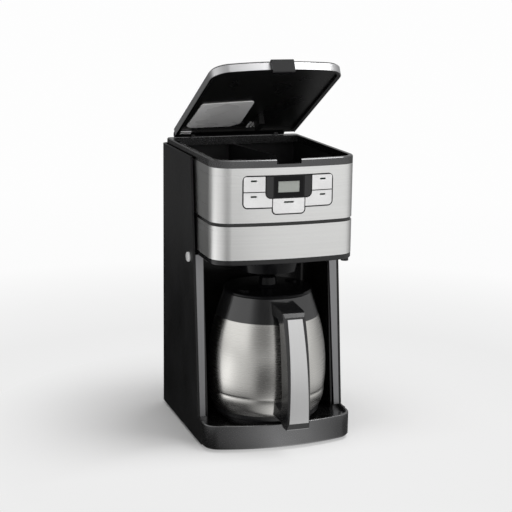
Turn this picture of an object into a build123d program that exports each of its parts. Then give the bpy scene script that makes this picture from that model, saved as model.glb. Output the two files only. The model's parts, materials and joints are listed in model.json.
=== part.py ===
"""Drip coffee maker with a built-in grinder and a steel carafe, as separate pieces.

Frame: millimetres, X to the right as seen from the front, front towards -Y, Z up.
The origin is on the table under the middle of the bounding box. The lid stands open.
The sizes below are laid out about the middle of the housing, and save() moves each
piece back by layout_y, because the carafe handle reaches out in front.
"""
from build123d import *
import math
import os

os.makedirs("parts", exist_ok=True)

# ---------------------------------------------------------------- overall sizes
layout_y = 18.0          # from the middle of the housing to the origin
body_half = 105.0        # half the width over the side panels
rear_y = 135.0           # back of the machine
foot_h = 4.0             # rubber feet below the base
base_top = 37.6          # rim of the base tray
head_bottom = 259.0      # underside of the head, above the carafe
door_band_z = 266.1      # lower edge of the steel skin on the basket door
door_top = 310.7         # top of the basket door
deck_top = 315.3         # top of the black deck that shows as a groove
upper_band_top = 387.35  # top of the upper steel band
rim_top = 397.7          # top of the glossy rim
panel_top = 390.0        # top of the side panels

gap = 0.3                # assembly gap between neighbouring mouldings
fit = 0.05               # running clearance on a pin
press = 0.02             # clearance of a pin in a fixed bore
wall = 2.5               # wall of the black mouldings
skin = 0.8               # steel and trim skins
screw_r = 1.5            # shank of the housing screws
screw_head_r = 3.0
screw_head_h = 1.6

# ---------------------------------------------------------------- plan outlines
head_side = 5.4          # the head stands in from the side walls by this much
head_half = body_half - head_side
head_corner_y = -108.9
head_bow = 10.0
head_corner_r = 27.5
head_rear_r = 7.0
head_back = rear_y - 3.0 - gap

base_corner_y = -98.0
base_bow = 19.0
base_corner_r = 23.0
base_wall = 3.2
tray_floor = 33.0
base_deck = 29.5         # underside of the tray floor
base_chamfer = 2.4

panel_t = 3.0
panel_foot_y = -75.0     # front of the panel foot beside the base
panel_low_y = -58.7      # front edge of the panel just above the base
panel_high_y = -17.5     # front edge of the panel at its top
panel_rear_r = 8.0
panel_return = 15.0      # how far the panel wraps onto the back
edge_slope = (panel_high_y - panel_low_y) / (panel_top - base_top)

bay_side = 15.0          # outer face of a side wall to the carafe bay
cavity_half = body_half - bay_side
cavity_back = 45.0
cavity_wall_t = 2.4
cavity_corner_r = 14.0
trim_t = 3.0
trim_top_w = 14.0
trim_low_w = 10.8

carafe_y = -38.0         # axis of carafe, basket and spray head
carafe_z = 38.3          # underside of the carafe on its plate
plate_r = 66.0
plate_top = 38.0


def edge_y(z):
    """Front edge of the side wall at height z."""
    return panel_low_y + edge_slope * (z - base_top)


def bowed_outline(half, corner_y, bow, corner_r, back, inset, rear_r=0.0):
    """Plan with straight sides, a bowed front and rounded corners."""
    with BuildSketch() as plan:
        with BuildLine():
            ThreePointArc((-half, corner_y), (0, corner_y - bow), (half, corner_y))
            Polyline((half, corner_y), (half, back + inset), (-half, back + inset), (-half, corner_y))
        make_face()
        fillet(plan.vertices().group_by(Axis.Y)[0], corner_r)
        if rear_r > 0:
            fillet(plan.vertices().group_by(Axis.Y)[-1], rear_r)
        if inset > 0:
            offset(amount=-inset, kind=Kind.INTERSECTION, mode=Mode.REPLACE)
    return plan.sketch


def head_plan(z, inset=0.0, back=head_back):
    """Outline of the head at height z; its back stays where it is told."""
    with BuildSketch(Plane.XY.offset(z)) as plan:
        add(bowed_outline(head_half, head_corner_y, head_bow, head_corner_r, back, inset, head_rear_r))
    return plan.sketch


def base_plan(z, inset=0.0):
    """Outline of the base at height z, stepped in beside the side panels."""
    back = rear_y - panel_t - gap
    step = panel_t + gap
    with BuildSketch(Plane.XY.offset(z)) as plan:
        add(bowed_outline(body_half, base_corner_y, base_bow, base_corner_r, back, 0.0))
        with BuildSketch(mode=Mode.PRIVATE) as steps:
            for side in (-1, 1):
                with Locations((side * (body_half - step / 2), (panel_foot_y - gap + back) / 2)):
                    Rectangle(step, back - panel_foot_y + gap)
        add(steps.sketch, mode=Mode.SUBTRACT)
        fillet(plan.vertices().group_by(Axis.Y)[-1], panel_rear_r - panel_t)
        if inset > 0:
            offset(amount=-inset, kind=Kind.INTERSECTION, mode=Mode.REPLACE)
    return plan.sketch


def save(piece, name):
    """Label a finished piece and write its STEP file."""
    placed = piece.part.moved(Location((0, layout_y, 0)))
    placed.label = name
    export_step(placed, f"parts/{name}.step")


def turned(centre, radius, length):
    """A plain cylinder standing on centre, for use inside a part block."""
    with Locations(centre):
        Cylinder(radius, length, align=(Align.CENTER, Align.CENTER, Align.MIN))


axis_plane = Plane(origin=(0, carafe_y, 0), x_dir=(1, 0, 0), z_dir=(0, -1, 0))
carafe_axis = Axis((0, carafe_y, 0), (0, 0, 1))

# ================================================================ base
cover_t = 2.0
foot_r = 9.0
foot_stem_r = 3.5
foot_in = 25.0           # feet in from the sides
foot_front_y, foot_rear_y = -78.0, 112.0
screw_in = 15.0          # rear base screws in from the sides
screw_front_in = 43.0
screw_front_y, screw_rear_y = -92.0, 60.0
foot_places = [(side * (body_half - foot_in), y) for y in (foot_front_y, foot_rear_y) for side in (-1, 1)]
base_screw_places = [(side * (body_half - screw_front_in), screw_front_y) for side in (-1, 1)]
base_screw_places += [(side * (body_half - screw_in), screw_rear_y) for side in (-1, 1)]
boss_r = 4.0
hose_r = 4.0
hose_bore_r = 2.6
passage = 2 * hose_r + 4           # holes that the hoses bend through
motor_in = 49.6                    # grinder axis in from the side of the head
motor_x, motor_y = head_half - motor_in, 86.0
well_in = 7.6                      # water well in from the other side of the head
well_x0, well_x1 = well_in - head_half, motor_x - 62
well_y0 = 56.0
inlet_x, inlet_y = (well_x0 + well_x1) / 2 + 2, 92.0
riser_x, riser_y = motor_x - 40, 62.0
heater_z = 15.5

with BuildPart() as base:
    extrude(base_plan(foot_h), amount=base_top - foot_h)
    chamfer(base.faces().sort_by(Axis.Z)[0].edges(), length=base_chamfer)
    fillet(base.faces().sort_by(Axis.Z)[-1].edges().filter_by(GeomType.CIRCLE), radius=1.2)
    extrude(base_plan(foot_h, base_wall), amount=base_deck - foot_h, mode=Mode.SUBTRACT)
    # tray: the open lobe in front of the pillars, then the bay between them
    with BuildSketch(Plane.XY.offset(tray_floor)):
        add(bowed_outline(body_half, base_corner_y, base_bow, base_corner_r, panel_low_y, base_wall))
        with Locations((0, (panel_low_y - 1 + cavity_back + cavity_wall_t) / 2)):
            Rectangle(2 * (cavity_half + cavity_wall_t), cavity_back + cavity_wall_t - panel_low_y + 1)
    extrude(amount=base_top - tray_floor, mode=Mode.SUBTRACT)
    # screw bosses under the deck
    for place in base_screw_places:
        turned((*place, foot_h + cover_t), boss_r, base_deck - foot_h - cover_t)
    with Locations(*[(x, y, foot_h + cover_t) for x, y in base_screw_places]):
        Cylinder(screw_r + press, 2 * 10, mode=Mode.SUBTRACT)
    # hose passages through the deck behind the bay
    with BuildSketch(Plane.XY.offset(base_deck)):
        with Locations((inlet_x, inlet_y - passage / 4)):
            SlotOverall(passage + 2, passage, rotation=90)
        with Locations((riser_x + passage / 4, riser_y)):
            SlotOverall(passage + 2, passage)
    extrude(amount=base_top - base_deck, mode=Mode.SUBTRACT)
save(base, "base")

with BuildPart() as base_cover:
    extrude(base_plan(foot_h, base_wall + gap), amount=cover_t)
    with Locations(*[(x, y, foot_h) for x, y in foot_places]):
        Cylinder(foot_stem_r + 0.2, 4 * cover_t, mode=Mode.SUBTRACT)
    with Locations(*[(x, y, foot_h) for x, y in base_screw_places]):
        Cylinder(screw_r + 0.2, 4 * cover_t, mode=Mode.SUBTRACT)
    # cooling slots under the heater
    with BuildSketch(Plane.XY.offset(foot_h)):
        with Locations((0, carafe_y)):
            with GridLocations(12, 46, 7, 2):
                SlotOverall(34, 4, rotation=90)
    extrude(amount=cover_t, mode=Mode.SUBTRACT)
save(base_cover, "base_cover")

with BuildPart() as feet:
    for place in foot_places:
        turned((*place, 0), foot_r, foot_h)
        turned((*place, foot_h), foot_stem_r, cover_t + 1)
    chamfer(feet.faces().filter_by(Plane.XY).group_by(Axis.Z)[0].edges(), length=1.0)
save(feet, "feet")

with BuildPart() as rest_plate:
    turned((0, carafe_y, tray_floor), plate_r, plate_top - tray_floor)
    fillet(rest_plate.edges().group_by(Axis.Z)[-1], radius=1.5)
    with BuildSketch(Plane.XY.offset(plate_top - 1.0)):
        with Locations((0, carafe_y)):
            Circle(plate_r - 12)
            Circle(plate_r - 15, mode=Mode.SUBTRACT)
    extrude(amount=1.0, mode=Mode.SUBTRACT)
save(rest_plate, "rest_plate")

# heater: a cast U under the plate, with its ends towards the back
heater_mid_r = 50.0
heater_w = 16.0
heater_back = 20.0
with BuildPart() as heater:
    with BuildSketch(Plane.XY.offset(heater_z)):
        with Locations((0, carafe_y)):
            Circle(heater_mid_r + heater_w / 2)
            Circle(heater_mid_r - heater_w / 2, mode=Mode.SUBTRACT)
            with Locations((0, 60)):
                Rectangle(140, 120, mode=Mode.SUBTRACT)
        with Locations((-heater_mid_r, (heater_back + carafe_y) / 2), (heater_mid_r, (heater_back + carafe_y) / 2)):
            Rectangle(heater_w, heater_back - carafe_y)
    extrude(amount=base_deck - heater_z)
    fillet(heater.edges().filter_by(GeomType.LINE).filter_by(Axis.Y).group_by(Axis.Z)[0], radius=3)
save(heater, "heater")

# ================================================================ side panels and pillars
release_y = -11.0
release_z = 252.0
release_r = 6.8
sleeve_len = 2.8


def side_panel(side):
    """Outer wall with a slanted front edge and a rounded return onto the back."""
    flat_back = rear_y - panel_rear_r - 4
    low = foot_h
    with BuildPart() as panel:
        with BuildSketch(Plane.YZ.offset(side * body_half)):
            with BuildLine():
                Polyline(
                    (flat_back, low), (flat_back, panel_top), (panel_high_y, panel_top),
                    (panel_low_y, base_top + gap), (panel_foot_y, base_top + gap),
                    (panel_foot_y, low), close=True,
                )
            make_face()
        extrude(amount=-side * panel_t)
        with BuildSketch(Plane.XY.offset(low)) as corner:
            with BuildLine():
                outer = side * body_half
                inner = side * (body_half - panel_t)
                end = side * (body_half - panel_return)
                Polyline(
                    (outer, flat_back), (outer, rear_y), (end, rear_y), (end, rear_y - panel_t),
                    (inner, rear_y - panel_t), (inner, flat_back), close=True,
                )
            make_face()
            fillet(corner.vertices().sort_by_distance((outer, rear_y))[0], panel_rear_r)
            fillet(corner.vertices().sort_by_distance((inner, rear_y - panel_t))[0], panel_rear_r - panel_t)
        extrude(amount=panel_top - low)
        # the lower rear corner is cut back
        with BuildSketch(Plane.YZ.offset(side * (body_half + 1))):
            with BuildLine():
                Polyline((rear_y + 1, low - 1), (rear_y - panel_rear_r, low - 1),
                         (rear_y + 1, low + panel_rear_r), close=True)
            make_face()
        extrude(amount=-side * (panel_return + 2), mode=Mode.SUBTRACT)
        if side < 0:
            with BuildSketch(Plane.YZ.offset(-body_half)):
                with Locations((release_y, release_z)):
                    Circle(release_r + gap)
            extrude(amount=panel_t, mode=Mode.SUBTRACT)
            with BuildSketch(Plane.YZ.offset(-body_half + panel_t)):
                with Locations((release_y, release_z)):
                    Circle(release_r + gap + 1.6)
                    Circle(release_r + gap, mode=Mode.SUBTRACT)
            extrude(amount=sleeve_len)
    return panel


left_side_panel = side_panel(-1)
save(left_side_panel, "left_side_panel")
right_side_panel = side_panel(1)
save(right_side_panel, "right_side_panel")


def pillar_trim(side):
    """Satin strip on the slanted front of the side wall, narrower at the foot."""
    low, high = base_top + gap, head_bottom - gap
    with BuildPart() as strip:
        with BuildSketch(Plane.YZ.offset(side * body_half)):
            with BuildLine():
                Polyline((edge_y(low), low), (edge_y(high), high), (edge_y(high) + trim_t, high),
                         (edge_y(low) + trim_t, low), close=True)
            make_face()
        extrude(amount=-side * trim_top_w)
        # taper on the inner side
        with BuildSketch(Plane.XZ.offset(-cavity_back)):
            with BuildLine():
                outer = side * (body_half - trim_top_w)
                Polyline((outer, low - 1), (side * (body_half - trim_low_w), low - 1), (outer, high), close=True)
            make_face()
        extrude(amount=cavity_back - panel_low_y + 5, mode=Mode.SUBTRACT)
        # the side panel stands outside the strip
        with BuildSketch(Plane.XY.offset(low)):
            with Locations((side * (body_half - panel_t / 2), (panel_low_y + cavity_back) / 2)):
                Rectangle(panel_t + 2 * gap, cavity_back - panel_low_y + 20)
        extrude(amount=high - low, mode=Mode.SUBTRACT)
    return strip


left_pillar_trim = pillar_trim(-1)
save(left_pillar_trim, "left_pillar_trim")
right_pillar_trim = pillar_trim(1)
save(right_pillar_trim, "right_pillar_trim")

# ================================================================ back panel
back_half = body_half - panel_return - gap
back_low = foot_h + 4
port_in = 43.0           # cord entry in from the side
inlet_port_x, inlet_port_z = body_half - port_in, 28.0
port_r = 6.0
cord_r = 3.6
back_screw_in = 9.7
back_screw_places = [(side * (back_half - back_screw_in), z) for z in (50, 200, 370) for side in (-1, 1)]

with BuildPart() as back_panel:
    with BuildSketch(Plane.XZ.offset(-rear_y)):
        with Locations((0, (back_low + panel_top) / 2)):
            RectangleRounded(2 * back_half, panel_top - back_low, 3)
        with Locations((0, 110)):
            with GridLocations(52, 9, 3, 6):
                SlotOverall(40, 3.4, mode=Mode.SUBTRACT)
        with Locations((50, 285)):
            with GridLocations(0, 9, 1, 5):
                SlotOverall(44, 3.4, mode=Mode.SUBTRACT)
        with Locations((inlet_port_x, inlet_port_z)):
            Circle(port_r, mode=Mode.SUBTRACT)
        with Locations(*back_screw_places):
            Circle(screw_r + 0.2, mode=Mode.SUBTRACT)
    extrude(amount=panel_t)
save(back_panel, "back_panel")

# all the housing screws, four from below and six from behind
with BuildPart() as housing_screws:
    for place in base_screw_places:
        turned((*place, foot_h - screw_head_h), screw_head_r, screw_head_h)
        turned((*place, foot_h), screw_r, 11)
    with BuildSketch(Plane.XZ.offset(-rear_y)):
        with Locations(*back_screw_places):
            Circle(screw_head_r)
    extrude(amount=-screw_head_h)
    with BuildSketch(Plane.XZ.offset(-rear_y)):
        with Locations(*back_screw_places):
            Circle(screw_r)
    extrude(amount=panel_t)
save(housing_screws, "housing_screws")

with BuildPart() as cord_gland:
    with BuildSketch(Plane.XZ.offset(-rear_y)):
        with Locations((inlet_port_x, inlet_port_z)):
            Circle(port_r + 3)
            Circle(cord_r, mode=Mode.SUBTRACT)
    extrude(amount=-2.0)
    with BuildSketch(Plane.XZ.offset(-rear_y)):
        with Locations((inlet_port_x, inlet_port_z)):
            Circle(port_r - 0.1)
            Circle(cord_r, mode=Mode.SUBTRACT)
    extrude(amount=panel_t)
save(cord_gland, "cord_gland")

# ================================================================ carafe bay
bay_top = head_bottom
with BuildPart() as cavity_wall:
    outer_half = cavity_half + cavity_wall_t
    outer_back = cavity_back + cavity_wall_t
    with BuildSketch(Plane.XY.offset(tray_floor)) as bay_plan:
        with BuildLine():
            Polyline((-outer_half, panel_low_y), (-outer_half, outer_back), (outer_half, outer_back),
                     (outer_half, panel_low_y), close=True)
        make_face()
        fillet(bay_plan.vertices().group_by(Axis.Y)[-1], cavity_corner_r)
        with BuildSketch(mode=Mode.PRIVATE) as hollow:
            with BuildLine():
                Polyline((-cavity_half, panel_low_y), (-cavity_half, cavity_back), (cavity_half, cavity_back),
                         (cavity_half, panel_low_y), close=True)
            make_face()
            fillet(hollow.vertices().group_by(Axis.Y)[-1], cavity_corner_r - cavity_wall_t)
        add(hollow.sketch, mode=Mode.SUBTRACT)
    extrude(amount=bay_top - tray_floor)
    # slanted front edges, just behind the pillar strips
    with BuildSketch(Plane.YZ.offset(-body_half)):
        with BuildLine():
            Polyline((edge_y(tray_floor) + trim_t, tray_floor), (edge_y(bay_top) + trim_t, bay_top),
                     (panel_low_y - 10, bay_top), (panel_low_y - 10, tray_floor), close=True)
        make_face()
    extrude(amount=2 * body_half, mode=Mode.SUBTRACT)
save(cavity_wall, "cavity_wall")

# ================================================================ lower head: fixed part
hinge_in, hinge_behind = 6.6, 21.9   # door hinge in from the side and behind the front corner of the head
hinge_x, hinge_y = head_half - hinge_in, head_corner_y + hinge_behind
door_left_y = -34.0                # left end of the door, beside the side panel
fixed_left_y = -31.0
fixed_right_y = hinge_y + 6.5
lug_low = 252.0                    # fixed lug under the door
door_pin_r = 1.5
shelf_t = 2.5
holder_low_r = 46.0
housing_top = door_top + gap

with BuildPart() as lower_housing:
    side_in = skin + wall
    extrude(head_plan(head_bottom, skin, cavity_back + cavity_wall_t), amount=housing_top - head_bottom)
    extrude(head_plan(head_bottom + shelf_t, side_in, cavity_back), amount=housing_top, mode=Mode.SUBTRACT)
    # nothing of it stands in front of the door line
    with BuildSketch(Plane.XY.offset(head_bottom)):
        with Locations((0, fixed_left_y)):
            Rectangle(2 * (head_half - side_in), 300, align=(Align.CENTER, Align.MAX))
            Rectangle(head_half + 5, 300, align=(Align.MAX, Align.MAX))
        with Locations((0, fixed_right_y)):
            Rectangle(head_half + 5, 300, align=(Align.MIN, Align.MAX))
    extrude(amount=housing_top, mode=Mode.SUBTRACT)
    with Locations((0, carafe_y, head_bottom)):
        Cylinder(holder_low_r + 3, 4 * shelf_t, mode=Mode.SUBTRACT)
    # lug that carries the foot of the hinge pin
    with BuildSketch(Plane.XY.offset(lug_low)):
        with Locations((hinge_x, hinge_y)):
            Circle(5.2)
        with Locations((hinge_x + 2.5, hinge_y)):
            Rectangle(5.2, 50, align=(Align.CENTER, Align.MIN))
    extrude(amount=head_bottom - lug_low - gap)
    with BuildSketch(Plane.XY.offset(lug_low)):
        with Locations((hinge_x + 2.5, hinge_y + 50)):
            Rectangle(5.2, 26, align=(Align.CENTER, Align.MAX))
    extrude(amount=head_bottom - lug_low)
    with Locations((hinge_x, hinge_y, lug_low)):
        Cylinder(door_pin_r + press, 40, mode=Mode.SUBTRACT)
save(lower_housing, "lower_housing")

band_back = 12.0                   # the skins end here, behind the side panels
with BuildPart() as right_band:
    extrude(head_plan(door_band_z, 0), amount=housing_top - door_band_z)
    extrude(head_plan(door_band_z, skin), amount=housing_top, mode=Mode.SUBTRACT)
    with BuildSketch(Plane.XY.offset(door_band_z)):
        with Locations((0, fixed_right_y)):
            Rectangle(head_half + 5, band_back - fixed_right_y, align=(Align.MIN, Align.MIN))
    extrude(amount=housing_top - door_band_z, mode=Mode.INTERSECT)
save(right_band, "right_band")

# ================================================================ deck between the two head halves
deck_inset = 1.5
spray_r = 24.0
chute_x, chute_y = motor_x - 16.5, -6.0
chute_w, chute_d = 26.0, 24.0
well_back = head_back - wall - gap
motor_r = 29.0
deck_z = housing_top

with BuildPart() as deck:
    extrude(head_plan(deck_z, deck_inset), amount=deck_top - deck_z)
    with BuildSketch(Plane.XY.offset(deck_z)):
        with Locations((0, carafe_y)):
            Circle(spray_r - 3)
        with Locations((chute_x, chute_y)):
            Rectangle(chute_w, chute_d)
        with Locations((riser_x, riser_y - passage / 4)):
            SlotOverall(passage + 4, passage, rotation=90)
        with Locations((motor_x, motor_y)):
            Circle(12)
        with Locations(((well_x0 + well_x1) / 2, (well_y0 + well_back) / 2)):
            Rectangle(well_x1 - well_x0 + 2, well_back - well_y0 + 1)
        with Locations((hinge_x, hinge_y)):
            Circle(door_pin_r + press)
    extrude(amount=deck_top - deck_z, mode=Mode.SUBTRACT)
save(deck, "deck")

with BuildPart() as door_hinge_pin:
    turned((hinge_x, hinge_y, lug_low + 0.5), door_pin_r, deck_top - 0.5 - lug_low - 0.5)
save(door_hinge_pin, "door_hinge_pin")

# shower plate above the basket
spray_t = 1.6
with BuildPart() as spray_head:
    turned((0, carafe_y, deck_top), spray_r, 8.5)
    turned((0, carafe_y, deck_z - spray_t), spray_r - 3 - 0.2, deck_top - deck_z + spray_t)
    turned((0, carafe_y, deck_z), spray_r - 6, 10.5)
    with Locations((0, carafe_y, deck_z)):
        Cylinder(spray_r - 6, 10.5, align=(Align.CENTER, Align.CENTER, Align.MIN), mode=Mode.SUBTRACT)
    with Locations((0, carafe_y, deck_z - spray_t)):
        with PolarLocations(9, 8):
            Cylinder(1.2, 6, mode=Mode.SUBTRACT)
        with PolarLocations(14, 12):
            Cylinder(1.2, 6, mode=Mode.SUBTRACT)
save(spray_head, "spray_head")

# ================================================================ basket door
shell_in = skin + wall
holder_z = 236.0
holder_top_z = 304.0
holder_top_r = 56.0
ring_w = 4.0
ring_r = holder_top_r + ring_w
holder_t = 2.0
holder_foot_r = 41.0
ring_h = 6.0
valve_hole_r = 3.4
bridge_z = holder_z + 14.0         # bridge over the drip valve

with BuildPart() as door_band:
    extrude(head_plan(door_band_z, 0), amount=door_top - door_band_z)
    extrude(head_plan(door_band_z, skin), amount=door_top, mode=Mode.SUBTRACT)
    with BuildSketch(Plane.XY.offset(door_band_z)):
        with Locations((0, door_left_y)):
            Rectangle(2 * body_half, 200, align=(Align.CENTER, Align.MAX))
        with Locations((0, hinge_y + 2)):
            Rectangle(body_half, 200, align=(Align.MIN, Align.MIN), mode=Mode.SUBTRACT)
    extrude(amount=door_top - door_band_z, mode=Mode.INTERSECT)
save(door_band, "door_band")

with BuildPart() as door_frame:
    # wall behind the steel skin, then the lip below it
    extrude(head_plan(door_band_z, skin), amount=door_top - door_band_z)
    extrude(head_plan(head_bottom, 0.2), amount=door_band_z - head_bottom)
    extrude(head_plan(head_bottom + shelf_t, shell_in), amount=door_top, mode=Mode.SUBTRACT)
    fillet(door_frame.edges().filter_by(GeomType.CIRCLE).group_by(Axis.Z)[0], radius=1.6)
    with BuildSketch(Plane.XY.offset(head_bottom)):
        with Locations((0, door_left_y)):
            Rectangle(2 * body_half, 200, align=(Align.CENTER, Align.MAX))
        with Locations((head_half - shell_in - 1, hinge_y + 2)):
            Rectangle(50, 200, align=(Align.MIN, Align.MIN), mode=Mode.SUBTRACT)
    extrude(amount=door_top - head_bottom, mode=Mode.INTERSECT)
    # ring that carries the filter holder, bridged to the wall
    with BuildSketch(Plane.XY.offset(holder_top_z - ring_h)):
        with Locations((0, carafe_y)):
            Circle(ring_r)
            Circle(holder_top_r + gap, mode=Mode.SUBTRACT)
    extrude(amount=ring_h)
    with BuildSketch(Plane.XY.offset(head_bottom + shelf_t)) as ribs:
        with Locations((-34, 0), (-12, 0), (12, 0), (34, 0)):
            Rectangle(wall, 118, align=(Align.CENTER, Align.MAX))
        add(bowed_outline(head_half, head_corner_y, head_bow, head_corner_r, head_back, shell_in - 0.5),
            mode=Mode.INTERSECT)
        with Locations((0, carafe_y)):
            Circle(ring_r - 2, mode=Mode.SUBTRACT)
        Rectangle(200, 200, align=(Align.CENTER, Align.MIN), mode=Mode.SUBTRACT)
        with Locations((0, -60)):
            Rectangle(200, 200, align=(Align.CENTER, Align.MIN), mode=Mode.SUBTRACT)
    extrude(amount=holder_top_z - head_bottom - shelf_t)
    with Locations((0, carafe_y, head_bottom)):
        Cylinder(holder_low_r + 1.2, 5 * shelf_t, mode=Mode.SUBTRACT)
    # hinge knuckle
    turned((hinge_x, hinge_y, head_bottom), 5.0, door_top - head_bottom)
    with Locations((hinge_x, hinge_y, head_bottom)):
        Cylinder(door_pin_r + fit, 200, mode=Mode.SUBTRACT)
save(door_frame, "door_frame")

with BuildPart() as filter_holder:
    with BuildSketch(axis_plane):
        with BuildLine():
            Polyline(
                (0, holder_z), (holder_foot_r, holder_z), (holder_low_r, head_bottom), (holder_top_r, holder_top_z - ring_h),
                (holder_top_r, holder_top_z), (ring_r - 0.5, holder_top_z), (ring_r - 0.5, holder_top_z + 2),
                (holder_top_r - holder_t, holder_top_z + 2), (holder_top_r - holder_t, holder_top_z - ring_h),
                (holder_low_r - holder_t, head_bottom + 1), (holder_foot_r - 1, holder_z + holder_t), (0, holder_z + holder_t),
                close=True,
            )
        make_face()
    revolve(axis=carafe_axis)
    # collar round the drip valve, and the bridge that holds its spring
    turned((0, carafe_y, holder_z - 3), 8.0, 4)
    with BuildSketch(Plane.XY.offset(bridge_z)):
        with Locations((0, carafe_y)):
            Rectangle(2 * (holder_foot_r + 2.4), 5)
            Circle(8)
    extrude(amount=2.0)
    with Locations((0, carafe_y, holder_z)):
        Cylinder(valve_hole_r, 60, mode=Mode.SUBTRACT)
save(filter_holder, "filter_holder")

basket_low = holder_z + 17.0
basket_r = holder_low_r - 8.0      # radius of its flat floor
basket_t = 1.2
with BuildPart() as filter_basket:
    with BuildSketch(axis_plane):
        with BuildLine():
            Polyline(
                (0, basket_low), (basket_r, basket_low), (holder_top_r - holder_t - 1.5, holder_top_z + 2),
                (holder_top_r + 1.5, holder_top_z + 2), (holder_top_r + 1.5, holder_top_z + 2 + basket_t),
                (holder_top_r - holder_t - 1.5 - basket_t, holder_top_z + 2 + basket_t),
                (basket_r - basket_t, basket_low + basket_t), (0, basket_low + basket_t), close=True,
            )
        make_face()
    revolve(axis=carafe_axis)
    with Locations((0, carafe_y, basket_low)):
        with GridLocations(9, 9, 7, 7):
            Cylinder(1.6, 4, mode=Mode.SUBTRACT)
save(filter_basket, "filter_basket")

# drip valve: held up by the carafe lid, closed by its spring when that is taken away
valve_low = 228.6
valve_travel = 3.0
seal_z = holder_z + holder_t + 0.6
with BuildPart() as drip_valve:
    turned((0, carafe_y, valve_low), valve_hole_r - 0.4, seal_z - valve_low)
    turned((0, carafe_y, seal_z), 7.0, 1.8)
    turned((0, carafe_y, seal_z + 1.8), 2.6, 5.2)
    fillet(drip_valve.edges().group_by(Axis.Z)[0], radius=1.2)
save(drip_valve, "drip_valve")

spring_r = 4.2
spring_low = seal_z + 1.8
spring_top = bridge_z
with BuildPart() as valve_spring:
    with BuildLine() as coil:
        Helix(pitch=(spring_top - spring_low - 1.0) / 4, height=spring_top - spring_low - 1.0, radius=spring_r,
              center=(0, carafe_y, spring_low + 0.5))
    with BuildSketch(Plane(origin=coil.line @ 0, z_dir=coil.line % 0)):
        RegularPolygon(0.4, 6)
    sweep(path=coil.line, is_frenet=True)
save(valve_spring, "valve_spring")

# release button of the door, in the left side wall
button_face_x = -body_half - 3.0
with BuildPart() as release_button:
    with BuildSketch(Plane.YZ.offset(button_face_x)):
        with Locations((release_y, release_z)):
            Circle(release_r)
    extrude(amount=7.0)
    fillet(release_button.edges().group_by(Axis.X)[0], radius=1.5)
    with BuildSketch(Plane.YZ.offset(button_face_x + 7.0)):
        with Locations((release_y, release_z)):
            Circle(2.5)
    extrude(amount=4.0)
save(release_button, "release_button")

# ================================================================ upper head
# control panel layout on the front, as x and z
panel_x = 61.5                     # half width of the key field
display_x = 31.7
tab_x = 22.3
field_low, field_high = 335.0, 376.6
row_z = 355.8
display_low = 347.3
tab_low = 326.3
border = 1.0
key_in = 0.65                      # keys stand this far inside their cell
pocket_in = 0.35                   # and their pockets this far
set_key_w = 11.0                   # keys beside the display
window_half = panel_x + 4.5        # opening in the housing behind the keys
window_low, window_high = tab_low - 4.8, field_high + 4.4
inner_in = skin + wall
front_plane = Plane.XZ.offset(-head_corner_y - 18.9)   # upright plane behind the front wall
front_reach = body_half

with BuildPart() as upper_housing:
    extrude(head_plan(deck_top, skin), amount=upper_band_top - deck_top)
    extrude(head_plan(deck_top, inner_in, head_back - wall), amount=upper_band_top, mode=Mode.SUBTRACT)
    with BuildSketch(front_plane):
        with Locations((0, (window_low + window_high) / 2)):
            Rectangle(2 * window_half, window_high - window_low)
    extrude(amount=front_reach, mode=Mode.SUBTRACT)
save(upper_housing, "upper_housing")


def cell(name):
    """Outline of one cell of the key field, seen from the front."""
    with BuildSketch(Plane.XZ) as plan:
        with BuildSketch(mode=Mode.PRIVATE) as display:
            with BuildLine():
                Polyline((-display_x, field_high + 9), (-display_x, display_low), (display_x, display_low),
                         (display_x, field_high + 9), close=True)
            make_face()
            fillet(display.vertices().group_by(Axis.Y)[0], 7)
        if name == "field":
            with Locations((0, (field_low + field_high) / 2)):
                RectangleRounded(2 * panel_x, field_high - field_low, 6)
        elif name == "tab":
            with Locations((0, (tab_low + display_low) / 2)):
                Rectangle(2 * tab_x, display_low - tab_low)
            fillet(plan.vertices().group_by(Axis.Y)[0], 5.5)
        elif name == "display":
            add(display.sketch)
            with Locations((0, field_high)):
                Rectangle(body_half, 20, align=(Align.CENTER, Align.MIN), mode=Mode.SUBTRACT)
        elif name == "top_key":
            with Locations((-panel_x, row_z)):
                Rectangle(panel_x - display_x, field_high - row_z, align=(Align.MIN, Align.MIN))
            fillet(plan.vertices().sort_by_distance((-panel_x, field_high))[0], 4)
        elif name == "low_key":
            with Locations((-panel_x, field_low)):
                Rectangle(panel_x - tab_x, row_z - field_low, align=(Align.MIN, Align.MIN))
            fillet(plan.vertices().sort_by_distance((-panel_x, field_low))[0], 6)
            add(display.sketch, mode=Mode.SUBTRACT)
        elif name == "side_key":
            with Locations((-display_x, display_low)):
                Rectangle(set_key_w, field_high - display_low, align=(Align.MIN, Align.MIN))
            fillet(plan.vertices().sort_by_distance((-display_x, display_low))[0], 7)
    return plan.sketch


def cell_shape(name, inset, plane):
    """A cell drawn smaller by inset on the given upright plane."""
    with BuildSketch(plane) as plan:
        with BuildSketch(mode=Mode.PRIVATE) as flat:
            add(Plane.XZ.to_local_coords(cell(name)))
            if inset != 0:
                offset(amount=-inset, kind=Kind.ARC, mode=Mode.REPLACE)
        add(flat.sketch)
    return plan.sketch


def front_slab(low, high, out, depth):
    """Slice of the bowed front wall, from out in front of the head outline to depth behind it."""
    with BuildPart() as slab:
        with BuildSketch(Plane.XY.offset(low)):
            add(head_plan(0))
            if out != 0:
                offset(amount=out, kind=Kind.ARC, mode=Mode.REPLACE)
        extrude(amount=high - low)
        with BuildSketch(Plane.XY.offset(low)):
            add(head_plan(0, depth))
        extrude(amount=high - low, mode=Mode.SUBTRACT)
        split(bisect_by=front_plane, keep=Keep.TOP)
    return slab.part


slab_low, slab_high = window_low - 4, window_high + 4
bezel_depth = 5.0
key_out, key_depth = 0.5, 2.6
key_travel = 1.2

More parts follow.
